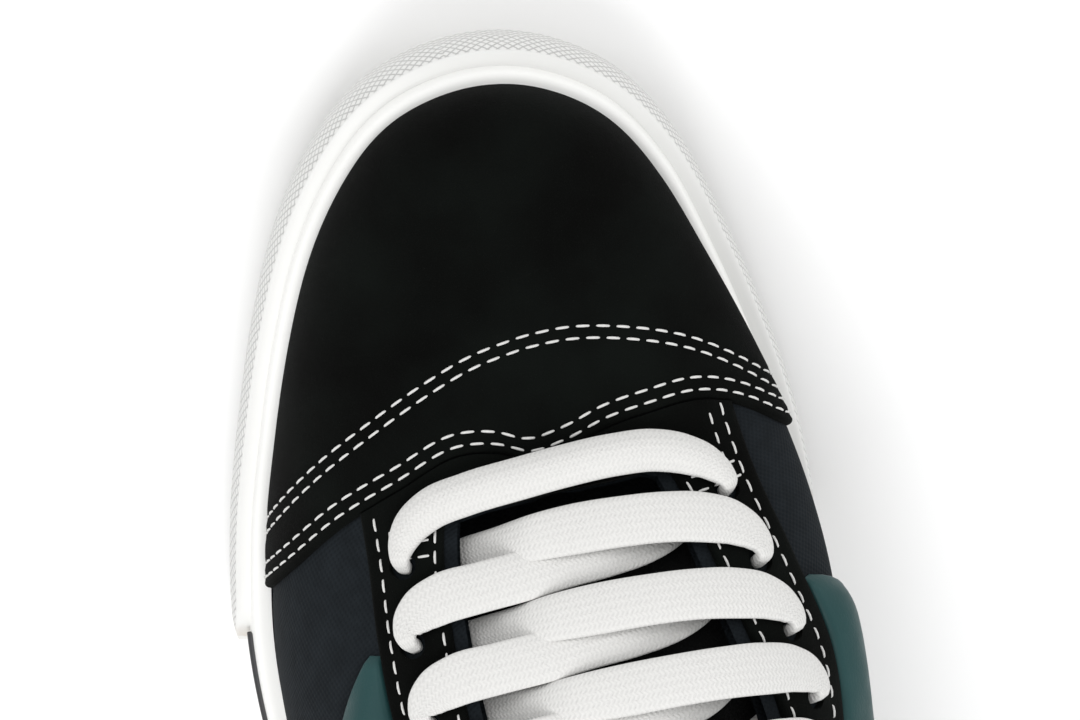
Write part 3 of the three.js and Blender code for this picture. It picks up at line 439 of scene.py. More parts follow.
def last_normal(angle, rise):
    angle, rise = together(angle, rise)
    small = 0.004
    at = np.minimum(rise, 1 - small)
    around = last_point(angle + small, at) - last_point(angle - small, at)
    steep = last_point(angle, at + small) - last_point(angle, at - small)
    up = np.where((rise > small)[..., None], steep, np.array([0.0, 0.0, 1.0]))
    side = unit(np.cross(around, up))
    pole = 0.1
    along = np.clip(np.arccos(np.cos(angle)), pole, PI - pole)
    ridge = last_point(along + small, 1) - last_point(along - small, 1)
    over = unit(np.stack([0 * ridge[..., 0], -ridge[..., 2], ridge[..., 1]], -1))
    blend = ease((rise - 0.94) / 0.06)[..., None]
    return unit(side * (1 - blend) + over * blend)


def skin(angle, rise, out):
    out = np.asarray(out, float)
    return last_point(angle, rise) + last_normal(angle, rise) * out[..., None]


def find_rise(angle, is_past):
    """The rise at which each column of the last first passes a test, or 1."""
    tries = np.linspace(0, 1, 161)
    past = is_past(last_point(angle[..., None], tries))
    any_past = past.any(-1)
    first = np.where(any_past, past.argmax(-1), len(tries) - 1)
    below = tries[np.maximum(first - 1, 0)]
    _, above = halve(below, tries[first], lambda rise: is_past(last_point(angle, rise)), 18)
    return np.where(any_past, above, 1.0)


def surface_at(y, offset):
    """The angle and rise of the last's surface at a length y and an offset from the ridge."""
    y, offset = together(y, offset)
    along = share_of(y)
    middle_x = centre_x(y)
    side = np.where(offset < 0, -1, 1)

    def is_past(rise):
        return np.abs(last_point(angle, rise)[..., 0] - middle_x) < np.abs(offset)

    for _ in range(6):
        angle = on_side(angle_of(along), side)
        rise = sum(halve(0 * y, 0 * y + 1, is_past, 22)) / 2
        along = along + share_of(y) - share_of(last_point(angle, rise)[..., 1])
    return on_side(angle_of(along), side), rise


def cap_drop(rise):
    """How far back the cap's lines run towards the foot."""
    return CAP_DROP * np.maximum(0, 1 - rise / CAP_DROPS) ** 2


def cap_angle(line, rise, sign):
    """The angle at which a row of the last crosses a line of the toe cap, on one side."""
    def is_past(angle):
        point = last_point(on_side(angle, sign), rise)
        return point[..., 1] + cap_drop(rise) > line(point[..., 0])

    return on_side(sum(halve(0.45 * PI, PI, is_past, 30)) / 2, sign)


def cap_line(shift=0.0):
    return lambda x: y_of(cap_edge(x / HALF)) + shift


def seam_line(shift):
    return lambda x: y_of(cap_seam(x / HALF)) + shift


CAP_ROWS = [cap_line(shift) for shift in CAP_STITCHES] + [seam_line(shift) for shift in SEAM_STITCHES]


def join_faces(outer, inner, keep=None, ring=False, seam=False):
    """Points and quads of a closed body between two grids of points. keep marks the cells that are
    there, ring joins the last column to the first, and seam leaves the last row to be welded."""
    rows, cols = outer.shape[:2]
    index = np.arange(rows * cols).reshape(rows, cols)
    if ring:
        index = np.hstack([index, index[:, :1]])
    cells = np.stack([index[:-1, :-1], index[:-1, 1:], index[1:, 1:], index[1:, :-1]], -1)
    if keep is None:
        keep = np.ones(cells.shape[:2], bool)
    top = cells[keep]
    padded = np.pad(keep, ((0, 1), (0, 0)))
    flat = padded ^ np.roll(padded, 1, axis=0)
    if seam:
        flat[-1] = False
    padded = keep if ring else np.pad(keep, ((0, 0), (0, 1)))
    upright = padded ^ np.roll(padded, 1, axis=1)
    columns = index[:, :cols]
    border = np.vstack([
        np.stack([index[:, :-1][flat], index[:, 1:][flat]], -1),
        np.stack([columns[:-1][upright], columns[1:][upright]], -1),
    ])
    count = rows * cols
    walls = np.stack([border[:, 0], border[:, 1], border[:, 1] + count, border[:, 0] + count], -1)
    quads = np.vstack([top, top[:, ::-1] + count, walls])
    points = np.vstack([outer.reshape(-1, 3), inner.reshape(-1, 3)])
    return points, quads


def lay_of(grid):
    """Cloth coordinates of a grid of points: lengths along one of its rows and up each column."""
    rows, cols = grid.shape[:2]
    around = run_of(grid[rows // 3])
    up = np.cumsum(np.linalg.norm(np.diff(grid, axis=0), axis=-1), axis=0)
    up = np.vstack([np.zeros((1, cols)), up])
    return np.stack([np.broadcast_to(around, up.shape), up, 0 * up], -1)


def put(name, data):
    """A new object in the scene."""
    made = bpy.data.objects.new(name, data)
    bpy.context.scene.collection.objects.link(made)
    return made


def put_work(name, work):
    """A new object from a finished bmesh."""
    mesh = bpy.data.meshes.new(name)
    work.to_mesh(mesh)
    work.free()
    return put(name, mesh)


def smooth(mesh, sharp):
    mesh.polygons.foreach_set("use_smooth", [True] * len(mesh.polygons))
    mesh.set_sharp_from_angle(angle=math.radians(sharp))


def add_piece(name, points, faces, material, lay=None, weld=False):
    used, inverse = np.unique(faces, return_inverse=True)
    faces = inverse.reshape(faces.shape)
    points = points[used]
    mesh = bpy.data.meshes.new(name)
    mesh.from_pydata((points * MM).tolist(), [], faces.tolist())
    if lay is not None:
        data = lay.reshape(-1, 3)[used % (len(lay.reshape(-1, 3)))]
        attribute = mesh.attributes.new("lay", "FLOAT_VECTOR", "POINT")
        attribute.data.foreach_set("vector", data.astype(np.float32).ravel())
    work = bmesh.new()
    work.from_mesh(mesh)
    if weld:
        bmesh.ops.remove_doubles(work, verts=work.verts, dist=0.01 * MM)
    bmesh.ops.recalc_face_normals(work, faces=work.faces)
    work.to_mesh(mesh)
    work.free()
    smooth(mesh, SHARP_FROM)
    mesh.materials.append(material)
    piece = put(name, mesh)
    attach(piece, "root")
    return piece


def patch(name, angle, rise, top, base, material, keep=None, ring=False, seam=False, foot=0.0):
    """A closed piece on the last between two distances from its surface."""
    outer = skin(angle, rise, top)
    inner = skin(angle, rise, base)
    outer[0, :, 2] += foot
    inner[0, :, 2] += foot
    points, quads = join_faces(outer, inner, keep, ring, seam)
    return add_piece(name, points, quads, material, lay=lay_of(outer), weld=seam)


def rounded(distance, radius):
    """The share of its full height that a rounded edge has at a distance from it."""
    near = np.clip(distance / radius, 0, 1)
    return np.sqrt(1 - (1 - near) ** 2)


EDGE_STEPS = np.array([0.0, 0.06, 0.2, 0.42, 0.8])  # from a cut edge, for its rounding


def shares_between(length, count):
    """Shares from 0 to 1 of a length, close together near both ends."""
    length = np.asarray(length, float)[..., None]
    near = EDGE_STEPS / length
    middle = np.linspace(0, 1, count)[1:-1]
    inner = near[..., -1:] + (1 - 2 * near[..., -1:]) * middle
    return np.concatenate([near, inner, 1 - near[..., ::-1]], -1)


class Look:
    """A material with one Principled shader, and short ways to add nodes to it."""

    def __init__(self, name, color, roughness, **sockets):
        self.material = bpy.data.materials.new(name)
        self.material.use_nodes = True
        self.nodes = self.material.node_tree.nodes
        self.links = self.material.node_tree.links
        self.shader = self.nodes["Principled BSDF"]
        self.shader.inputs["Base Color"].default_value = (*color, 1)
        self.shader.inputs["Roughness"].default_value = roughness
        for socket, value in sockets.items():
            self.shader.inputs[socket.replace("_", " ")].default_value = value

    def add(self, kind, inputs=None, **settings):
        node = self.nodes.new("ShaderNode" + kind)
        for key, value in settings.items():
            setattr(node, key, value)
        for key, value in (inputs or {}).items():
            if isinstance(value, bpy.types.NodeSocket):
                self.links.new(value, node.inputs[key])
            else:
                node.inputs[key].default_value = value
        return node

    def place(self):
        return self.add("TexCoord").outputs["Object"]

    def lay(self):
        """The two cloth coordinates, in millimetres."""
        lay = self.add("Attribute", attribute_name="lay").outputs["Vector"]
        split = self.add("SeparateXYZ", {0: lay})
        return split.outputs[0], split.outputs[1]

    def math(self, operation, a, b=0.0):
        return self.add("Math", {0: a, 1: b}, operation=operation).outputs[0]

    def noise(self, size, detail=2.0, rough=0.5):
        """Noise with features of a size in millimetres."""
        inputs = {"Vector": self.place(), "Scale": 1 / (size * MM), "Detail": detail, "Roughness": rough}
        return self.add("TexNoise", inputs).outputs["Fac"]

    def cells(self, size, feature="F1"):
        inputs = {"Vector": self.place(), "Scale": 1 / (size * MM)}
        return self.add("TexVoronoi", inputs, feature=feature).outputs["Distance"]

    def range(self, value, low, high, to_low=0.0, to_high=1.0):
        inputs = {0: value, 1: low, 2: high, 3: to_low, 4: to_high}
        return self.add("MapRange", inputs).outputs[0]

    def mix(self, factor, one, other):
        node = self.add("Mix", data_type="RGBA")
        for socket, value in ((0, factor), (6, one), (7, other)):
            if isinstance(value, bpy.types.NodeSocket):
                self.links.new(value, node.inputs[socket])
            else:
                node.inputs[socket].default_value = (*value, 1) if socket else value
        return node.outputs[2]

    def paint(self, color):
        self.links.new(color, self.shader.inputs["Base Color"])

    def gloss(self, value):
        self.links.new(value, self.shader.inputs["Roughness"])

    def bump(self, height, depth, strength=1.0, below=None):
        """Relief of a depth in millimetres."""
        inputs = {"Height": height, "Distance": depth * MM, "Strength": strength}
        if below is not None:
            inputs["Normal"] = below
        normal = self.add("Bump", inputs).outputs[0]
        self.links.new(normal, self.shader.inputs["Normal"])
        return normal


def darker(color, share):
    return tuple(part * share for part in color)


def suede(name):
    base = (0.0026, 0.0028, 0.0025)
    look = Look(name, base, 0.95, Specular_IOR_Level=0.035, Sheen_Weight=0.015, Sheen_Roughness=0.5)
    nap = look.range(look.noise(22, 3), 0.35, 0.7)
    color = look.mix(nap, darker(base, 0.7), (0.0040, 0.0051, 0.0044))
    fibres = look.noise(0.35, 4, 0.7)
    color = look.mix(look.range(fibres, 0.55, 0.85, 0.0, 0.5), color, (0.0075, 0.0082, 0.0075))
    lint = look.range(look.cells(19), 0.014, 0.022, 1.0, 0.0)
    look.paint(look.mix(lint, color, (0.15, 0.15, 0.14)))
    look.bump(fibres, 0.35, 0.6, below=look.bump(look.noise(4, 2), 0.5, 0.25))
    return look.material


def canvas(name, base, thread=0.62):
    look = Look(name, base, 0.92, Specular_IOR_Level=0.08, Sheen_Weight=0.01)
    u, v = look.lay()
    turn = PI / thread
    warp = look.math("SINE", look.math("MULTIPLY", u, turn))
    weft = look.math("SINE", look.math("MULTIPLY", v, turn))
    weave = look.math("MULTIPLY", warp, weft)
    knots = look.math("ADD", look.math("MULTIPLY", weave, 0.5), 0.5)
    slub = look.noise(3.5, 3)
    color = look.mix(look.range(slub, 0.3, 0.7), darker(base, 0.82), darker(base, 1.15))
    # The weave's low points are painted darker: painted shade in the hollows between the threads.
    look.paint(look.mix(look.range(knots, 0.0, 0.5, 0.45, 0.0), color, darker(base, 0.45)))
    look.bump(knots, 0.16, 0.7, below=look.bump(look.noise(0.8, 3), 0.1, 0.4))
    return look.material


def padded_leather(name):
    base = (0.0160, 0.0530, 0.0540)
    look = Look(name, base, 0.46, Specular_IOR_Level=0.16, Coat_Weight=0.02, Coat_Roughness=0.4)
    cloud = look.noise(12, 3)
    look.paint(look.mix(cloud, darker(base, 0.85), darker(base, 1.15)))
    grain = look.cells(0.9, "DISTANCE_TO_EDGE")
    look.gloss(look.range(look.noise(5, 3), 0.3, 0.7, 0.42, 0.54))
    look.bump(look.range(grain, 0.0, 0.12), 0.05, 0.35, below=look.bump(look.noise(6, 3), 0.5, 0.2))
    return look.material


def rubber(name, base, roughness=0.48, specks=True):
    look = Look(name, base, roughness, Specular_IOR_Level=0.4)
    cloud = look.range(look.noise(18, 3), 0.35, 0.65)
    color = look.mix(cloud, darker(base, 0.975), base)
    if specks:
        speck = look.range(look.cells(17), 0.009, 0.014, 0.9, 0.0)
        color = look.mix(speck, color, (0.06, 0.055, 0.05))
    look.paint(color)
    look.bump(look.noise(0.6, 3), 0.05, 0.3)
    return look.material


def hatched_rubber(name, base):
    """Rubber with fine crossed grooves below a smooth border, by the way from its nearest end and the
    depth below its top edge, and a smudge of glue at the ends."""
    look = Look(name, base, 0.5, Specular_IOR_Level=0.4)
    u, v = look.lay()
    pitch = 1.9
    slant = look.math("MULTIPLY", v, 0.54)
    one = look.math("PINGPONG", look.math("ADD", u, slant), pitch / 2)
    other = look.math("PINGPONG", look.math("SUBTRACT", u, slant), pitch / 2)
    land = look.range(look.math("MINIMUM", one, other), 0.0, 0.34)
    room = look.range(v, 1.0, 1.5)
    groove = look.math("MULTIPLY", look.math("SUBTRACT", 1.0, land), room)
    near_end = look.range(u, 1.0, 7.5, 0.6, 0.0)
    glue = look.math("MULTIPLY", near_end, look.range(look.noise(3, 3), 0.42, 0.6))
    # The grooves are painted darker as painted shade in them; the brown smudge at the ends is real glue.
    look.paint(look.mix(glue, look.mix(groove, base, darker(base, 0.62)), (0.42, 0.31, 0.20)))
    grain = look.bump(look.noise(0.6, 3), 0.05, 0.3)
    look.bump(look.math("SUBTRACT", 1.0, groove), 0.25, 0.8, below=grain)
    return look.material


def knit_pile(name, base):
    look = Look(name, base, 0.97, Specular_IOR_Level=0.08, Sheen_Weight=0.10, Sheen_Roughness=0.4)
    pile = look.noise(0.5, 4, 0.7)
    color = look.mix(look.range(look.noise(7, 3), 0.3, 0.7), darker(base, 0.75), darker(base, 1.3))
    look.paint(look.mix(look.range(pile, 0.5, 0.8), color, darker(base, 2.2)))
    look.bump(pile, 0.6, 0.8)
    return look.material


def braid(name):
    base = (0.68, 0.675, 0.66)
    look = Look(name, base, 0.85, Specular_IOR_Level=0.2, Sheen_Weight=0.15, Sheen_Roughness=0.5)
    u, v = look.lay()
    wale = 0.72
    across = look.math("PINGPONG", v, wale)
    chevron = look.math("ADD", u, look.math("MULTIPLY", across, 0.65))
    strand = look.math("SINE", look.math("MULTIPLY", chevron, 2 * PI / 0.85))
    column = look.math("SINE", look.math("MULTIPLY", v, PI / wale))
    ridges = look.math("ADD", look.math("MULTIPLY", strand, 0.35), look.math("MULTIPLY", column, 0.15))
    height = look.math("ADD", ridges, 0.5)
    fluff = look.noise(0.3, 3)
    shade = look.range(height, 0.1, 0.6, 0.2, 0.0)
    look.paint(look.mix(shade, base, darker(base, 0.6)))
    look.bump(height, 0.15, 0.7, below=look.bump(fluff, 0.2, 0.6))
    return look.material


def thread(name):
    base = (0.72, 0.715, 0.70)
    look = Look(name, base, 0.8, Specular_IOR_Level=0.2)
    look.paint(look.mix(look.noise(0.4, 2), darker(base, 0.75), base))
    look.bump(look.noise(0.2, 2), 0.08, 0.6)
    return look.material


def make_camera():
    at, target = Vector(CAMERA_AT), Vector(CAMERA_LOOKS_AT)
    forward = (target - at).normalized()
    right = forward.cross(Vector((0, 1, 0))).normalized()
    up = right.cross(forward)
    roll = math.radians(CAMERA_ROLL)
    x = right * math.cos(roll) + up * math.sin(roll)
    y = up * math.cos(roll) - right * math.sin(roll)
    data = bpy.data.cameras.new("camera")
    data.lens = LENS
    data.sensor_width = SENSOR
    data.clip_start = 0.01
    camera = put("camera", data)
    turn = Matrix((x, y, -forward)).transposed().to_4x4()
    camera.matrix_world = Matrix.Translation(at * MM) @ turn
    bpy.context.scene.camera = camera


def add_light(name, at, size, power):
    data = bpy.data.lights.new(name, "AREA")
    data.shape = "RECTANGLE"
    data.size, data.size_y = size[0] * MM, size[1] * MM
    data.energy = power
    light = put(name, data)
    light.location = Vector(at) * MM
    light.rotation_euler = (Vector(LIGHTS_AIM) - Vector(at)).to_track_quat("-Z", "Y").to_euler()


def make_studio():
    look = Look("floor_paper", [FLOOR_WHITE] * 3, 0.9)
    look.paint(look.mix(look.noise(300, 2), [FLOOR_WHITE - 0.01] * 3, [FLOOR_WHITE + 0.01] * 3))
    bpy.ops.mesh.primitive_plane_add(size=FLOOR_SIZE * MM, location=(0, 0, 0))
    floor = bpy.context.object
    floor.name = "floor"
    floor.data.materials.append(look.material)
    world = bpy.data.worlds.new("studio")
    world.use_nodes = True
    background = world.node_tree.nodes["Background"]
    background.inputs["Color"].default_value = (1, 1, 1, 1)
    background.inputs["Strength"].default_value = WORLD_LIGHT
    bpy.context.scene.world = world
    for light in LIGHTS:
        add_light(*light)
    bpy.context.scene.view_settings.view_transform = "Standard"


def ring_quads(index):
    """Quads between the rows of a grid whose rows close into rings."""
    turned = np.roll(index, -1, axis=1)
    return np.stack([index[:-1], turned[:-1], turned[1:], index[1:]], -1).reshape(-1, 4)


def sole_line(angle, inset, height):
    """Points of the sole's outline, moved in by an inset, at a height above its bottom."""
    x, y = edge(angle, inset)
    return np.stack([x, y, height + lift(y)], -1)


def make_outsole(look):
    """A ring of sections closed above and below by rows across, with the lugs' grooves cut in."""
    angle = turns(480)
    rows = [
        (SOLE_BEVEL, 0), (SOLE_BEVEL * 0.4, 0.25), (0, SOLE_BEVEL),
        (0, SOLE_EDGE), (SEAT, SOLE_EDGE), (SEAT, BED),
    ]
    points = np.vstack([sole_line(angle, inset, height) for inset, height in rows])
    count = len(angle)
    index = np.arange(len(rows) * count).reshape(len(rows), count)
    quads = ring_quads(index).tolist()
    for row, flip in ((index[0], True), (index[-1], False)):
        for k in range(count // 2):
            face = [row[k], row[(k + 1) % count], row[(count - k - 1) % count], row[(count - k) % count]]
            face = list(dict.fromkeys(int(i) for i in face))
            quads.append(face[::-1] if flip else face)
    mesh = bpy.data.meshes.new("outsole_rubber")
    mesh.from_pydata((points * MM).tolist(), [], quads)
    piece = put("outsole_rubber", mesh)
    for turn in (-1, 1):
        cut(piece, grooves(turn))
    smooth(piece.data, SOLE_SHARP_FROM)
    piece.data.materials.clear()
    piece.data.materials.append(look)
    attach(piece, "root")
    return piece


def grooves(turn):
    """Boxes for the grooves of one direction, each as long as fits inside the tread's border."""
    angle = turns(720)
    x, y = edge(angle, LUG_RIM)
    slope = math.tan(turn * LUG_TURN)
    work = bmesh.new()
    for first, last in TREAD:
        low, high = y_of(first), y_of(last)
        side = np.linspace(-WIDTH, WIDTH, 1201)
        for start in np.arange(low - HALF, high + HALF, LUG):
            line_y = start + side * slope
            left = np.interp(line_y, y[360:][::-1], x[360:][::-1])
            right = np.interp(line_y, y[:361], x[:361])
            inside = (side > left) & (side < right) & (line_y > low) & (line_y < high)
            if inside.sum() < 20:  # too short a groove to cut
                continue
            ends = side[inside][[0, -1]]
            middle = ends.mean()
            long = (ends[1] - ends[0]) / math.cos(LUG_TURN)
            place = Matrix.Translation(Vector((middle, start + middle * slope, 0)) * MM)
            turned = Matrix.Rotation(turn * LUG_TURN, 4, "Z")
            scale = Matrix.Diagonal((long * MM, LUG_GROOVE * MM, 2 * LUG_DEPTH * MM, 1))
            bmesh.ops.create_cube(work, size=1, matrix=place @ turned @ scale)
    return put_work("grooves", work)


def cut(piece, cutter):
    """Takes the cutter's volume out of the piece, and removes the cutter."""
    modifier = piece.modifiers.new("cut", "BOOLEAN")
    modifier.object = cutter
    modifier.operation = "DIFFERENCE"
    modifier.solver = "EXACT"
    bpy.context.view_layer.update()
    graph = bpy.context.evaluated_depsgraph_get()
    mesh = bpy.data.meshes.new_from_object(piece.evaluated_get(graph))
    piece.modifiers.clear()
    piece.data = mesh
    bpy.data.objects.remove(cutter)


def lean_at(share):
    heights = [row[0] for row in FOXING_ROWS]
    return FOXING_LEAN * np.interp(share, heights, [row[1] for row in FOXING_ROWS])


def foxing_point(angle, share, out):
    """A point on the foxing's outer face, moved out."""
    angle, share, out = together(angle, share, out)
    x, y = edge(angle, lean_at(share) - out)
    bottom = SOLE_EDGE + GAP * 0.5 + lift(y)
    return np.stack([x, y, bottom + (foxing_top(angle) - bottom) * share], -1)


def make_foxing(look):
    angle = turns(520)
    outer_rows = [(share, 0.0) for share in np.linspace(0, 0.9, 16)]
    top = FOXING_ROUND / FOXING
    for turn in np.linspace(0, PI / 2, 6)[1:]:
        share = 1 - 1.4 * top + 1.4 * top * math.sin(turn)
        outer_rows.append((share, -1.3 * FOXING_ROUND * (1 - math.cos(turn))))
    rows = [foxing_point(angle, share, out) for share, out in outer_rows]
    seat = lean_at(1.0) - FOXING_SEAT
    for share, out in ((1.0, seat * 0.6), (1.0, seat), (0.0, lean_at(0.0) - FOXING_SEAT)):
        rows.append(foxing_point(angle, share, out))
    grid = np.array(rows)
    index = np.arange(grid.shape[0] * grid.shape[1]).reshape(grid.shape[:2])
    quads = ring_quads(np.vstack([index, index[:1]]))
    return add_piece("foxing_rubber", grid.reshape(-1, 3), quads, look)


def band(name, first, last, count, shares, proud, look, rounding=0.0, fades=BAND_END):
    """A band on the foxing between two angles, with rounded borders. Its ends round down over an
    angle and thin out over a length."""
    angle = np.linspace(first, last, count)
    length = run_of(foxing_point(angle, 0.5, proud))
    near = np.minimum(angle - first, last - angle) / rounding if rounding else np.ones(count)
    fall = np.maximum(0.1, np.sqrt(1 - (1 - np.clip(near, 0, 1)) ** 2))
    shares = shares[:, None] * fall[None]
    from_end = np.minimum(length, length[-1] - length)
    border = rounded(from_end, fades)[None]
    top = rounded((shares[-1:] - shares) * FOXING, BAND_EDGE)
    face = proud * (0.25 + 0.75 * np.minimum(border, top))
    outer = foxing_point(angle[None], shares, face)
    inner = foxing_point(angle[None], shares, -0.3 + 0 * face)
    points, quads = join_faces(outer, inner)
    lay = np.stack(np.broadcast_arrays(from_end[None], (shares[-1:] - shares) * FOXING, 0.0), -1)
    return add_piece(name, points, quads, look, lay=lay)


def make_bumper(look):
    end = float(angle_of(BUMPER_END))
    near_top = BUMPER_TOP - np.array([0.03, 0.02, 0.01, 0.004, 0])
    shares = np.concatenate([np.linspace(0, BUMPER_TOP - 0.04, 22), near_top])
    ends = BUMPER_ROUND, BUMPER_FADES
    return band("bumper_rubber", end, 2 * PI - end, 520, shares, BUMPER, look, *ends)


def make_stripe(sign, look):
    half = STRIPE / FOXING / 2
    front = float(angle_of(BUMPER_END)) + BUMPER_MEETS * BUMPER_ROUND
    ends = [float(angle_of(HEEL_STRIP_END)) + STRIPE_GAP, front - STRIPE_GAP]
    first, last = ends if sign > 0 else (2 * PI - ends[1], 2 * PI - ends[0])
    shares = np.linspace(STRIPE_MIDDLE - half, STRIPE_MIDDLE + half, 5)
    name = "stripe_inner_line" if sign > 0 else "stripe_outer_line"
    angle = np.linspace(first, last, 240)
    face = STRIPE_PROUD * np.array([0.55, 0.95, 1.0, 0.95, 0.55])[:, None]
    outer = foxing_point(angle[None], shares[:, None], face)
    inner = foxing_point(angle[None], shares[:, None], -0.2 + 0 * face)
    points, quads = join_faces(outer, inner)
    return add_piece(name, points, quads, look)


def make_heel_strip(look):
    end = float(angle_of(HEEL_STRIP_END))
    return band("heel_strip_rubber", -end, end, 90, np.linspace(0, HEEL_STRIP_TOP, 24), HEEL_STRIP, look)


def make_insole(look):
    angle = np.linspace(0, PI, 181)
    sides = (angle, 2 * PI - angle)
    one, other = (sole_line(side, SEAT + WALL + GAP, BED + GAP + INSOLE) for side in sides)
    across = np.linspace(0, 1, 31)[None, :, None]
    top = one[:, None] * (1 - across) + other[:, None] * across
    middle = np.sin(PI * across[..., 0])
    along = np.linspace(0, 1, top.shape[0])[:, None]
    top[..., 2] += -1.5 * middle * ease((0.45 - along) / 0.3) + 0.9 * (1 - middle)
    under = top.copy()
    under[..., 2] = BED + GAP + lift(top[..., 1])
    points, quads = join_faces(top[1:-1], under[1:-1])
    return add_piece("insole_board", points, quads, look, lay=lay_of(top[1:-1]))


def is_open(point):
    """The throat and everything above the rim."""
    x, y, z = point[..., 0], point[..., 1], point[..., 2]
    in_throat = (np.abs(x - centre_x(y)) < throat_x(y)) & (y > TONGUE_BACK) & (y < THROAT_FRONT)
    over_rim = (z > rim_z(y)) & (y < y_of(RIM[-1][0]))
    return in_throat | over_rim


def make_upper(look):
    angle = turns(420)
    top = find_rise(angle, is_open)
    share = np.linspace(0, 1, 52)[:, None]
    rise = np.vstack([np.full((1, len(angle)), -1.0), np.full((1, len(angle)), -0.4), top * share])
    out = np.zeros(rise.shape)
    angle = angle[None] + 0 * rise
    return patch("canvas_upper", angle, rise, out, out - WALL, look, ring=True, seam=True)


def furrow(away):
    """The depth, as a share, of the soft furrow that a row of stitches draws."""
    return np.exp(-(away / FURROW_WIDE) ** 2)


def thickness(distance, radius=OVERLAY_EDGE):
    """Height of an overlay above the canvas at a distance from its cut edge."""
    return GAP + (OVERLAY - GAP) * rounded(distance, radius)


def overlay(name, angle, rise, top, look, **settings):
    """A patch that lies on the canvas."""
    return patch(name, angle, rise, top, 0 * top + OVERLAY_BASE, look, **settings)


def make_toe_cap(look):
    rise = np.linspace(0, 1, 84)
    inner = cap_angle(cap_line(), rise, 1)
    outer = cap_angle(cap_line(), rise, -1)
    turn = 0.01
    pace = 0
    for line, step in ((inner, turn), (outer, -turn)):
        pace = pace + np.linalg.norm(last_point(line + step, rise) - last_point(line, rise), axis=-1)
    speed = pace[:, None] / 2 / turn
    start = inner[:, None] + EDGE_STEPS[None] / speed
    finish = outer[:, None] - EDGE_STEPS[None, ::-1] / speed
    t = np.linspace(0, 1, 242)[None, 1:-1]
    middle = start[:, -1:] * (1 - t) + finish[:, :1] * t
    angle = np.hstack([start, middle, finish])
    rows = np.broadcast_to(rise[:, None], angle.shape)
    point = last_point(angle, rows)
    back = point[..., 1] + cap_drop(rows)
    top = thickness(back - cap_line()(point[..., 0]))
    for line in CAP_ROWS:
        top = top - CAP_FURROW * furrow(back - line(point[..., 0]))
    return overlay("suede_toe_cap", angle, rows, top, look, seam=True, foot=-OVERLAY_FOOT)


def make_eyestay(look):
    leg_rows = np.concatenate([THROAT_BACK + EDGE_STEPS, np.linspace(THROAT_BACK + 2, THROAT_FRONT, 78)])
    front = np.linspace(0, 1, 12)[1:]
    y_line = np.concatenate([leg_rows, np.full(len(front), THROAT_FRONT)])
    leg = leg_x(y_line) - EYESTAY_SET
    half = throat_x(y_line) + EYESTAY_SET
    legs = shares_between(leg, 18)
    throat = np.linspace(-1, 1, 24)[None, 1:-1]
    beside = half[:, None] + legs * leg[:, None]
    offset = np.hstack([-beside[:, ::-1], throat * half[:, None], beside])
    y = np.broadcast_to(y_line[:, None], offset.shape).copy()
    ahead = len(leg_rows)
    x = centre_x(y[ahead:]) + offset[ahead:]
    y[ahead:] += (cap_line(-0.15)(x) - THROAT_FRONT) * front[:, None]
    keep = np.ones((offset.shape[0] - 1, offset.shape[1] - 1), bool)
    first = legs.shape[1] - 1
    keep[: ahead - 1, first : first + throat.shape[1] + 1] = False
    angle, rise = surface_at(y, offset)
    inward = np.abs(offset) - throat_x(y) - EYESTAY_SET
    outward = throat_x(y) + leg_x(y) - np.abs(offset)
    round_front = np.hypot(np.minimum(inward, 0), y - THROAT_FRONT) + np.maximum(inward, 0)
    inner_edge = np.where(y < THROAT_FRONT, inward, round_front)
    distance = np.minimum(np.minimum(np.abs(inner_edge), outward), y - THROAT_BACK)
    top = thickness(distance, 0.7)
    top = top - EYESTAY_FURROW * (furrow(outward - LEG_STITCH) + furrow(inward - THROAT_STITCH))
    piece = overlay("suede_eyestay", angle, rise, top, look, keep=keep)
    cut(piece, eyelet_punch())
    return piece


def eyelet_place(row):
    y = EYELET_FIRST - row * EYELET_PITCH
    return y, float(throat_x(y) + EYELET_PLACE * leg_x(y))


def eyelet_punch():
    work = bmesh.new()
    for row in range(EYELETS):
        for sign in (-1, 1):
            y, offset = eyelet_place(row)
            angle, rise = surface_at(y, sign * offset)
            normal = Vector(last_normal(angle, rise))
            place = Matrix.Translation(Vector(last_point(angle, rise)) * MM)
            turn = Vector((0, 0, 1)).rotation_difference(normal).to_matrix().to_4x4()
            bmesh.ops.create_cone(
                work, segments=28, radius1=EYELET_RADIUS * MM, radius2=EYELET_RADIUS * MM,
                depth=HOLE_DEPTH * MM, cap_ends=True, matrix=place @ turn,
            )
    return put_work("punch", work)


def make_counter(look):
    height = np.linspace(COUNTER_EDGE[0][0], COUNTER_EDGE[-1][0], 40)
    reach = angle_of(counter_edge(height))
    shares = np.concatenate([-np.linspace(1, 0, 40) ** 0.9, (np.linspace(0, 1, 40) ** 0.9)[1:]])
    angle = np.mod(reach[:, None] * shares[None], 2 * PI)
    rise = np.zeros(angle.shape)
    for i, z in enumerate(COLLAR * height):
        rise[i] = find_rise(angle[i], lambda point, z=z: point[..., 2] > z)
    point = last_point(angle, rise)
    ahead = y_of(counter_edge(point[..., 2] / COLLAR)) - point[..., 1]
    above = COLLAR * COUNTER_EDGE[-1][0] - point[..., 2]
    top = thickness(np.minimum(ahead, above))
    return overlay("suede_heel_counter", angle, rise, top, look, foot=-OVERLAY_FOOT)


def roll_size(y):
    """The roll's size, which grows from its thin front ends."""
    return ROLL_THIN + (1 - ROLL_THIN) * ease((y_of(ROLL_END) - y) / ROLL_GROWS)


def in_roll(point):
    """Above the middle line of the collar's roll."""
    y = point[..., 1]
    return point[..., 2] > rim_z(y) - ROLL / 2 * roll_size(y)


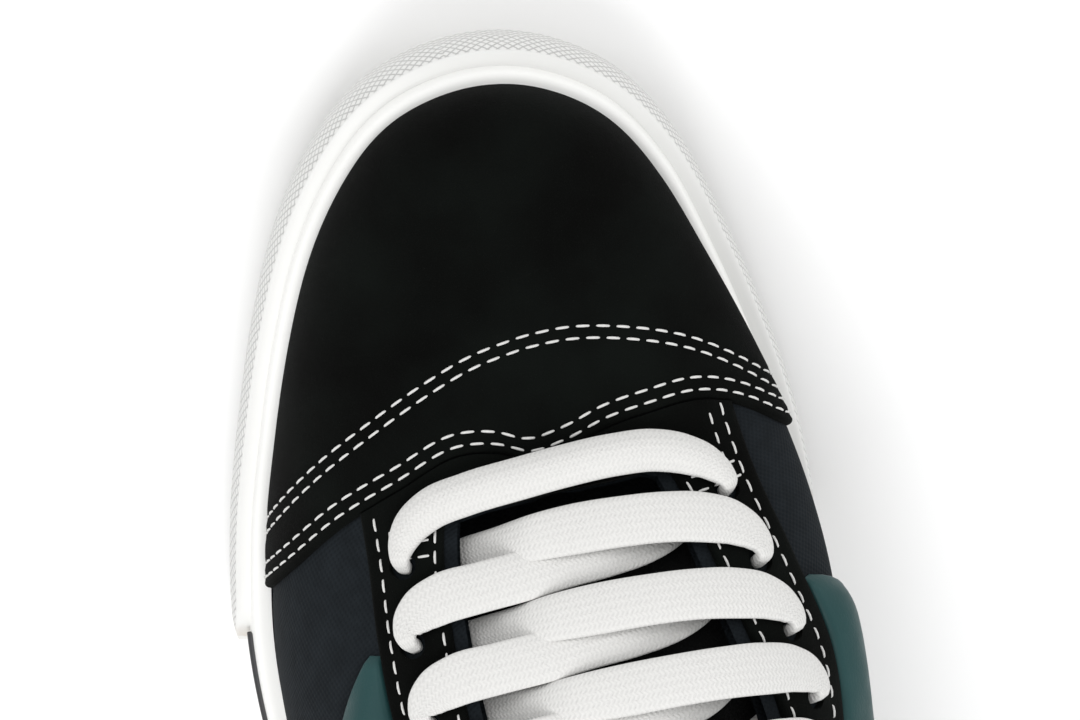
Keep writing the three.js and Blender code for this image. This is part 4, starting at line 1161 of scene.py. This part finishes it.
def panel_top(point):
    """Where the collar's panel ends: at the roll or at the eyestay."""
    x, y, z = point[..., 0], point[..., 1], point[..., 2]
    beside = (z > EYESTAY_LOW) & (y > THROAT_BACK - 2)
    at_eyestay = beside & (np.abs(x - centre_x(y)) < throat_x(y) + leg_x(y) + 0.1)
    at_rim = in_roll(point) & (y < y_of(RIM[-1][0]))
    return at_eyestay | at_rim


def make_collar_panel(look):
    reaches = [float(angle_of(rows[-1][0] + 0.02)) for rows in (COLLAR_OUTER, COLLAR_INNER)]
    angle = np.linspace(-reaches[0], reaches[1], 421)
    low = find_rise(angle, lambda point: point[..., 2] > collar_edge_z(point[..., 0], point[..., 1]))
    high = find_rise(angle, panel_top)
    room = np.linalg.norm(last_point(angle, low) - last_point(angle, high), axis=-1)
    there = (high > low + 0.004) & (room > 1.5)
    first, last = np.flatnonzero(there)[[0, -1]]
    angle, low, high, room = (values[first : last + 1] for values in (angle, low, high, room))
    shares = shares_between(np.maximum(room, 4), 40).T
    rise = low + (high - low) * shares
    angles = np.broadcast_to(angle, rise.shape)
    point = last_point(angles, rise)
    from_edge = np.linalg.norm(point - point[:1], axis=-1)
    to_top = np.linalg.norm(point - point[-1:], axis=-1)
    x, y, z = point[..., 0], point[..., 1], point[..., 2]
    side = x - centre_x(y)
    rising = ease((z - collar_edge_z(x, y)) / PUFF_EDGE)
    seam = ease((np.abs(side) - throat_x(y) - leg_x(y)) / PUFF_SEAM)
    seam = seam + (1 - seam) * ease((THROAT_BACK - y) / PUFF_BEHIND)
    ahead = ease((np.where(side > 0, collar_end(True), collar_end(False)) - y) / PUFF_FRONT)
    puff = PUFF * np.sqrt(rising * seam * ahead)
    beside = y > THROAT_BACK - 8
    along = run_of(point[20])  # near half way up
    from_front = np.minimum(along, along[-1] - along)[None]
    folds = 0.35 * np.sin(from_front / 7.5) * ease(from_edge / 6) * ease(to_top / 6)
    folds = folds * ease(1.2 - from_front / 90)
    border = np.minimum(np.minimum(from_edge, np.where(beside, to_top, 9)), from_front)
    return overlay("collar_panel", angles, rise, thickness(border, 1.0) + puff + folds, look)


def make_collar_roll(look):
    end = float(angle_of(ROLL_END))
    angle = np.linspace(-end, end, 260)
    rise = find_rise(angle, in_roll)
    centre = skin(angle, rise, np.full(angle.shape, -WALL / 2))
    out = last_normal(angle, rise)
    up = unit(np.cross(np.gradient(centre, axis=0), out))
    up = up * np.sign(up[:, 2].mean())
    size = roll_size(centre[:, 1])
    turn = turns(36)[:, None, None]
    wide = ((PUFF + WALL) * size)[None, :, None]
    tall = (ROLL * size)[None, :, None]
    grid = centre[None] + out[None] * wide * np.cos(turn) + up[None] * tall * np.sin(turn)
    grid = grid.transpose(1, 0, 2)
    quads = tube_quads(*grid.shape[:2])
    return add_piece("collar_roll", grid.reshape(-1, 3), quads, look)


def make_tongue(look):
    y = np.linspace(TONGUE_FRONT, TONGUE_BACK, 90)
    share = np.sin(np.linspace(-1, 1, 45) * PI / 2)
    leaves = THROAT_BACK + TONGUE_LEAVES
    free = ease((leaves - y) / (leaves - TONGUE_BACK))[:, None]
    near_end = np.minimum(y - TONGUE_BACK, TONGUE_FRONT - y)
    end = np.minimum(1, TONGUE_TIP + near_end / TONGUE_TAPER)[:, None]
    half = TONGUE_HALF + (TONGUE_END - TONGUE_HALF) * free
    crest = FORM_TOP * ridge_height(share_of(y))[:, None] + TONGUE_RISE
    offset = np.where(share[None] == 0, 1e-3, share[None]) * half
    angle, rise = surface_at(np.broadcast_to(y[:, None], offset.shape), offset)
    place, normal = last_point(angle, rise), last_normal(angle, rise)
    crown = LACE_ROOM + (WALL + GAP - LACE_ROOM) * ease(1 - 2 * np.abs(share))
    thick = TONGUE_THICK * (1 - (1 - TONGUE_SIDE) * share ** 2) * np.sqrt(end)
    top = crown + (TONGUE_THICK - thick) * TONGUE_THINS
    grids = []
    for depth in (top, top + thick):
        depth = np.broadcast_to(depth, offset.shape)
        held = place - normal * depth[..., None]
        x = centre_x(y)[:, None] + share[None] * half
        height = crest - TONGUE_ARCH * share[None] ** 2 - depth
        loose = np.stack([x, np.broadcast_to(y[:, None], x.shape), height], -1)
        grids.append(held * (1 - free[..., None]) + loose * free[..., None])
    points, quads = join_faces(grids[0], grids[1])
    return add_piece("tongue_pad", points, quads, look, lay=lay_of(grids[0]))


# Routes of the lace: sideways as a share of the eyelet's offset, ahead as a share of EYELET_PITCH,
# height as a share from LACE_UNDER to LACE_OVER, and width as a share of LACE_WIDTH.
BAR = [
    (-1.000, 0.000, 0.000, LACE_NECK), (-1.000, 0.000, 0.750, LACE_NECK), (-0.990, 0.070, 0.985, 0.38),
    (-0.965, 0.220, 1.010, 0.54), (-0.892, 0.440, 1.060, 0.72), (-0.748, 0.640, 1.110, 0.82),
    (-0.520, 0.740, 1.160, 0.84), (-0.200, 0.775, 1.230, 0.84), (0.100, 0.795, 1.240, 0.84),
    (0.400, 0.805, 1.190, 0.84), (0.620, 0.740, 1.110, 0.84), (0.790, 0.575, 1.080, 0.80),
    (0.916, 0.360, 1.040, 0.68), (0.975, 0.175, 1.010, 0.52), (0.995, 0.060, 0.985, 0.38),
    (1.000, 0.000, 0.750, LACE_NECK), (1.000, 0.000, 0.000, LACE_NECK),
]
OVER = [
    (-1.035, 0.000, 0.000, LACE_NECK), (-0.840, 0.060, -0.045, 0.52), (-0.660, 0.080, -0.020, 0.68),
    (-0.450, 0.070, 0.360, 0.76), (-0.200, 0.020, 0.940, 0.92), (0.050, -0.010, 1.060, 1.00),
    (0.320, -0.040, 1.080, 1.00), (0.560, -0.120, 1.040, 1.00), (0.750, -0.260, 1.000, 1.00),
    (0.895, -0.460, 1.000, 0.90), (0.975, -0.690, 1.000, 0.70), (1.000, -0.865, 1.000, 0.48),
    (1.000, -0.950, 0.985, 0.36), (1.000, -1.000, 0.750, LACE_NECK), (1.000, -1.000, 0.000, LACE_NECK),
]
UNDER = [
    (-1.035, 0.000, 0.000, LACE_NECK), (-0.840, -0.080, -0.045, 0.52), (-0.660, -0.180, -0.020, 0.72),
    (-0.450, -0.260, 0.300, 0.88), (-0.200, -0.310, 0.620, 1.00), (0.050, -0.350, 0.750, 1.00),
    (0.300, -0.390, 0.800, 1.00), (0.550, -0.430, 0.880, 1.00), (0.770, -0.500, 1.000, 1.00),
    (0.900, -0.620, 1.000, 0.88), (0.975, -0.780, 1.000, 0.66), (1.000, -0.895, 1.000, 0.46),
    (1.000, -0.955, 0.985, 0.36), (1.000, -1.000, 0.750, LACE_NECK), (1.000, -1.000, 0.000, LACE_NECK),
]


def lace_route(row, table, sign, landing):
    """Stations (y, offset, height, width) of a strand that leaves a row's eyelet."""
    y_from, offset_from = eyelet_place(row)
    _, offset_to = eyelet_place(landing)
    route = []
    for side, ahead, height, width in table:
        offset = offset_from if side < 0 else offset_to
        out = LACE_UNDER + height * (LACE_OVER - LACE_UNDER)
        route.append((y_from + ahead * EYELET_PITCH, sign * side * offset, out, width * LACE_WIDTH))
    return route


def smooth_rows(values, knots, at):
    return np.stack([spline(knots, values[:, k])(at) for k in range(values.shape[1])], -1)


def ribbon(route, crown):
    """Grid of points round a flat braid along a route of (y, offset, out, width)."""
    y, offset, out, width = (np.array(column, float) for column in zip(*route))
    angle, rise = surface_at(y, offset)
    place = skin(angle, rise, out)
    normal = last_normal(angle, rise)
    run = run_of(place)
    at = np.linspace(0, run[-1], STRAND_STEPS)
    centre = smooth_rows(place, run, at)
    along = unit(np.gradient(centre, axis=0))
    side = np.cross(smooth_rows(normal, run, at), along)
    level = np.linalg.norm(side, axis=-1) > LEVEL
    first, last = np.flatnonzero(level)[[0, -1]]
    side[:first] = side[first]
    side[last:] = side[last]
    side = unit(side - along * (side * along).sum(-1, keepdims=True))
    up = np.cross(along, side)
    wide = spline(run, width / 2)(at)
    neck = (LACE_WIDTH / 2 - wide) / (LACE_WIDTH / 2 * (1 - LACE_NECK))
    thick = LACE_THICK / 2 * (1 + (NECK_THICK - 1) * neck)
    turn = turns(STRAND_SIDES)
    c, s = np.cos(turn), np.sin(turn)
    u = np.sign(c) * np.abs(c) ** STRAND_SQUARE
    v = np.sign(s) * np.abs(s) ** STRAND_SQUARE
    arch = crown * (0.5 - np.abs(u))[None] * (1 - np.clip(neck, 0, 1))[:, None]
    grid = centre[:, None] + side[:, None] * (wide[:, None] * u)[..., None]
    grid = grid + up[:, None] * (thick[:, None] * v + arch)[..., None]
    length = run_of(centre)
    across = np.broadcast_to(u * LACE_WIDTH / 2, grid.shape[:2])
    lay = np.stack([np.broadcast_to(length[:, None], across.shape), across, 0 * across], -1)
    return grid, lay


def tube_quads(rows, cols, start=0):
    """Quads of a closed tube, with points numbered from start."""
    index = start + np.arange(rows * cols).reshape(rows, cols)
    quads = ring_quads(index)
    caps = []
    for row in (index[0], index[-1]):
        for k in range(cols // 2 - 1):
            caps.append([row[k], row[k + 1], row[cols - 2 - k], row[cols - 1 - k]])
    return np.vstack([quads, np.array(caps)])


def make_lace(look):
    routes = [(lace_route(0, BAR, 1, 0), BAR_CROWN)]
    for row in range(EYELETS - 1):
        routes.append((lace_route(row, OVER, 1, row + 1), STRAND_CROWN))
        routes.append((lace_route(row, UNDER, -1, row + 1), STRAND_CROWN))
    points, quads, lays, start = [], [], [], 0
    for route, crown in routes:
        grid, lay = ribbon(route, crown)
        points.append(grid.reshape(-1, 3))
        lays.append(lay.reshape(-1, 3))
        quads.append(tube_quads(*grid.shape[:2], start))
        start += len(points[-1])
    return add_piece("braided_lace", np.vstack(points), np.vstack(quads), look, lay=np.vstack(lays))


def stitch_row(angle, rise):
    """The stitches along a row on the last: start, middle and end of each, and the way up."""
    line = skin(angle, rise, np.full(angle.shape, STITCH_OUT))
    up = last_normal(angle, rise)
    run = run_of(line)
    starts = np.arange(0.5, run[-1] - STITCH_LONG, STITCH_PITCH)
    found = []
    for at in (starts, starts + STITCH_LONG / 2, starts + STITCH_LONG):
        found.append(np.stack([np.interp(at, run, line[:, k]) for k in range(3)], -1))
    ups = np.stack([np.interp(starts, run, up[:, k]) for k in range(3)], -1)
    return found[0], found[1], found[2], unit(ups)


def make_stitches(name, rows, look):
    """All stitches of some rows as one mesh of short bent threads."""
    ends = [stitch_row(*row) for row in rows]
    first, middle, last, up = (np.vstack([row[k] for row in ends]) for k in range(4))
    turn = turns(STITCH_SIDES)
    side = unit(np.cross(unit(last - first), up))
    grid = []
    for t, share, height in STITCH_RINGS:
        size = share * STITCH_RADIUS
        centre = first * (1 - t) ** 2 + middle * 2 * t * (1 - t) + last * t ** 2 + up * height
        ring = [centre + side * (math.cos(a) * size * 1.15) + up * (math.sin(a) * size) for a in turn]
        grid.append(np.stack(ring, 1))
    grid = np.stack(grid, 1)
    count, rings, sides = grid.shape[:3]
    quads = [tube_quads(rings, sides, rings * sides * k) for k in range(count)]
    piece = add_piece(name, grid.reshape(-1, 3), np.vstack(quads), look)


def row_across(line):
    """A row over the last along a line of the toe cap, from the inner foot to the outer one."""
    rise = np.linspace(ROW_FOOT, 1, 160)
    inner = cap_angle(line, rise, 1)
    outer = cap_angle(line, rise, -1)
    return np.concatenate([inner, outer[::-1][1:]]), np.concatenate([rise, rise[::-1][1:]])


def eyestay_rows(sign, front):
    """The rows of stitches on one leg of the eyestay, whose outer rows end at a length y."""
    def along(y, offset):
        return surface_at(y, sign * offset)

    start = THROAT_BACK + STITCHES_START
    y = np.linspace(start, front, 140)
    rows = [along(y, throat_x(y) + leg_x(y) - LEG_STITCH)]
    y = np.linspace(start, THROAT_STITCH_END, 120)
    rows.append(along(y, throat_x(y) + EYESTAY_SET + THROAT_STITCH))
    y = np.linspace(TWO_FROM, front, 30)
    rows.append(along(y, throat_x(y) + leg_x(y) - LEG_STITCH_TWO))
    share = np.linspace(*BAR_SHARES, 30)
    for at in BAR_STITCHES:
        rows.append(along(np.full(30, at), throat_x(at) + leg_x(at) * share))
    return rows


def counter_row(sign, inset):
    """A row of stitches behind the heel counter's front edge, on one side."""
    height = np.linspace(COUNTER_EDGE[0][0] + COUNTER_STITCH_LOW, COUNTER_EDGE[-1][0], 60)
    angle = on_side(angle_of(share_of(y_of(counter_edge(height)) - inset)), sign)
    rise = np.array([
        find_rise(np.array([a]), lambda point, z=z: point[..., 2] > z)[0]
        for a, z in zip(angle, COLLAR * height)
    ])
    return angle, rise


def make_all_stitches(look):
    make_stitches("cap_stitches", [row_across(line) for line in CAP_ROWS], look)
    rows = [row for sign, front in LEG_STITCH_ENDS for row in eyestay_rows(sign, front)]
    make_stitches("eyestay_stitches", rows, look)
    rows = [counter_row(sign, inset) for sign in (-1, 1) for inset in COUNTER_STITCHES]
    make_stitches("counter_stitches", rows, look)


def dress(piece, slot, *nodes):
    if nodes:
        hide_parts(*nodes)
    return piece


make_camera()
make_studio()

white_rubber = rubber("white_rubber", (0.88, 0.88, 0.86))
bumper_rubber = hatched_rubber("bumper_rubber", (0.76, 0.76, 0.745))
line_rubber = rubber("line_rubber", (0.010, 0.010, 0.012), 0.45, specks=False)
sole_rubber = rubber("sole_rubber", (0.74, 0.73, 0.69), 0.6, specks=False)
black_suede = suede("black_suede")
navy_canvas = canvas("navy_canvas", (0.0105, 0.0133, 0.0160))
green_leather = padded_leather("green_leather")
black_pile = knit_pile("black_pile", (0.0042, 0.0045, 0.0046))
insole_cloth = canvas("insole_cloth", (0.02, 0.021, 0.023), 0.5)
white_braid = braid("white_braid")
white_thread = thread("white_thread")

dress(make_outsole(sole_rubber), "outsole", "outsole")
dress(make_foxing(white_rubber), "foxing", "foxing")
dress(make_stripe(-1, line_rubber), "stripe", "foxing_stripe_outer")
dress(make_stripe(1, line_rubber), "stripe", "foxing_stripe_inner")
dress(make_bumper(bumper_rubber), "bumper", "toe_bumper")
dress(make_heel_strip(white_rubber), "foxing", "heel_strip")
dress(make_upper(navy_canvas), "canvas", "upper")
dress(make_toe_cap(black_suede), "suede", "toe_cap")
dress(make_eyestay(black_suede), "suede", "eyestay")
dress(make_counter(black_suede), "suede", "heel_counter")
dress(make_collar_panel(green_leather), "collar", "collar")
dress(make_collar_roll(green_leather), "collar", "collar")
dress(make_tongue(black_pile), "tongue", "tongue")
dress(make_insole(insole_cloth), "insole", "insole")
dress(make_lace(white_braid), "lace", "lace")
make_all_stitches(white_thread)
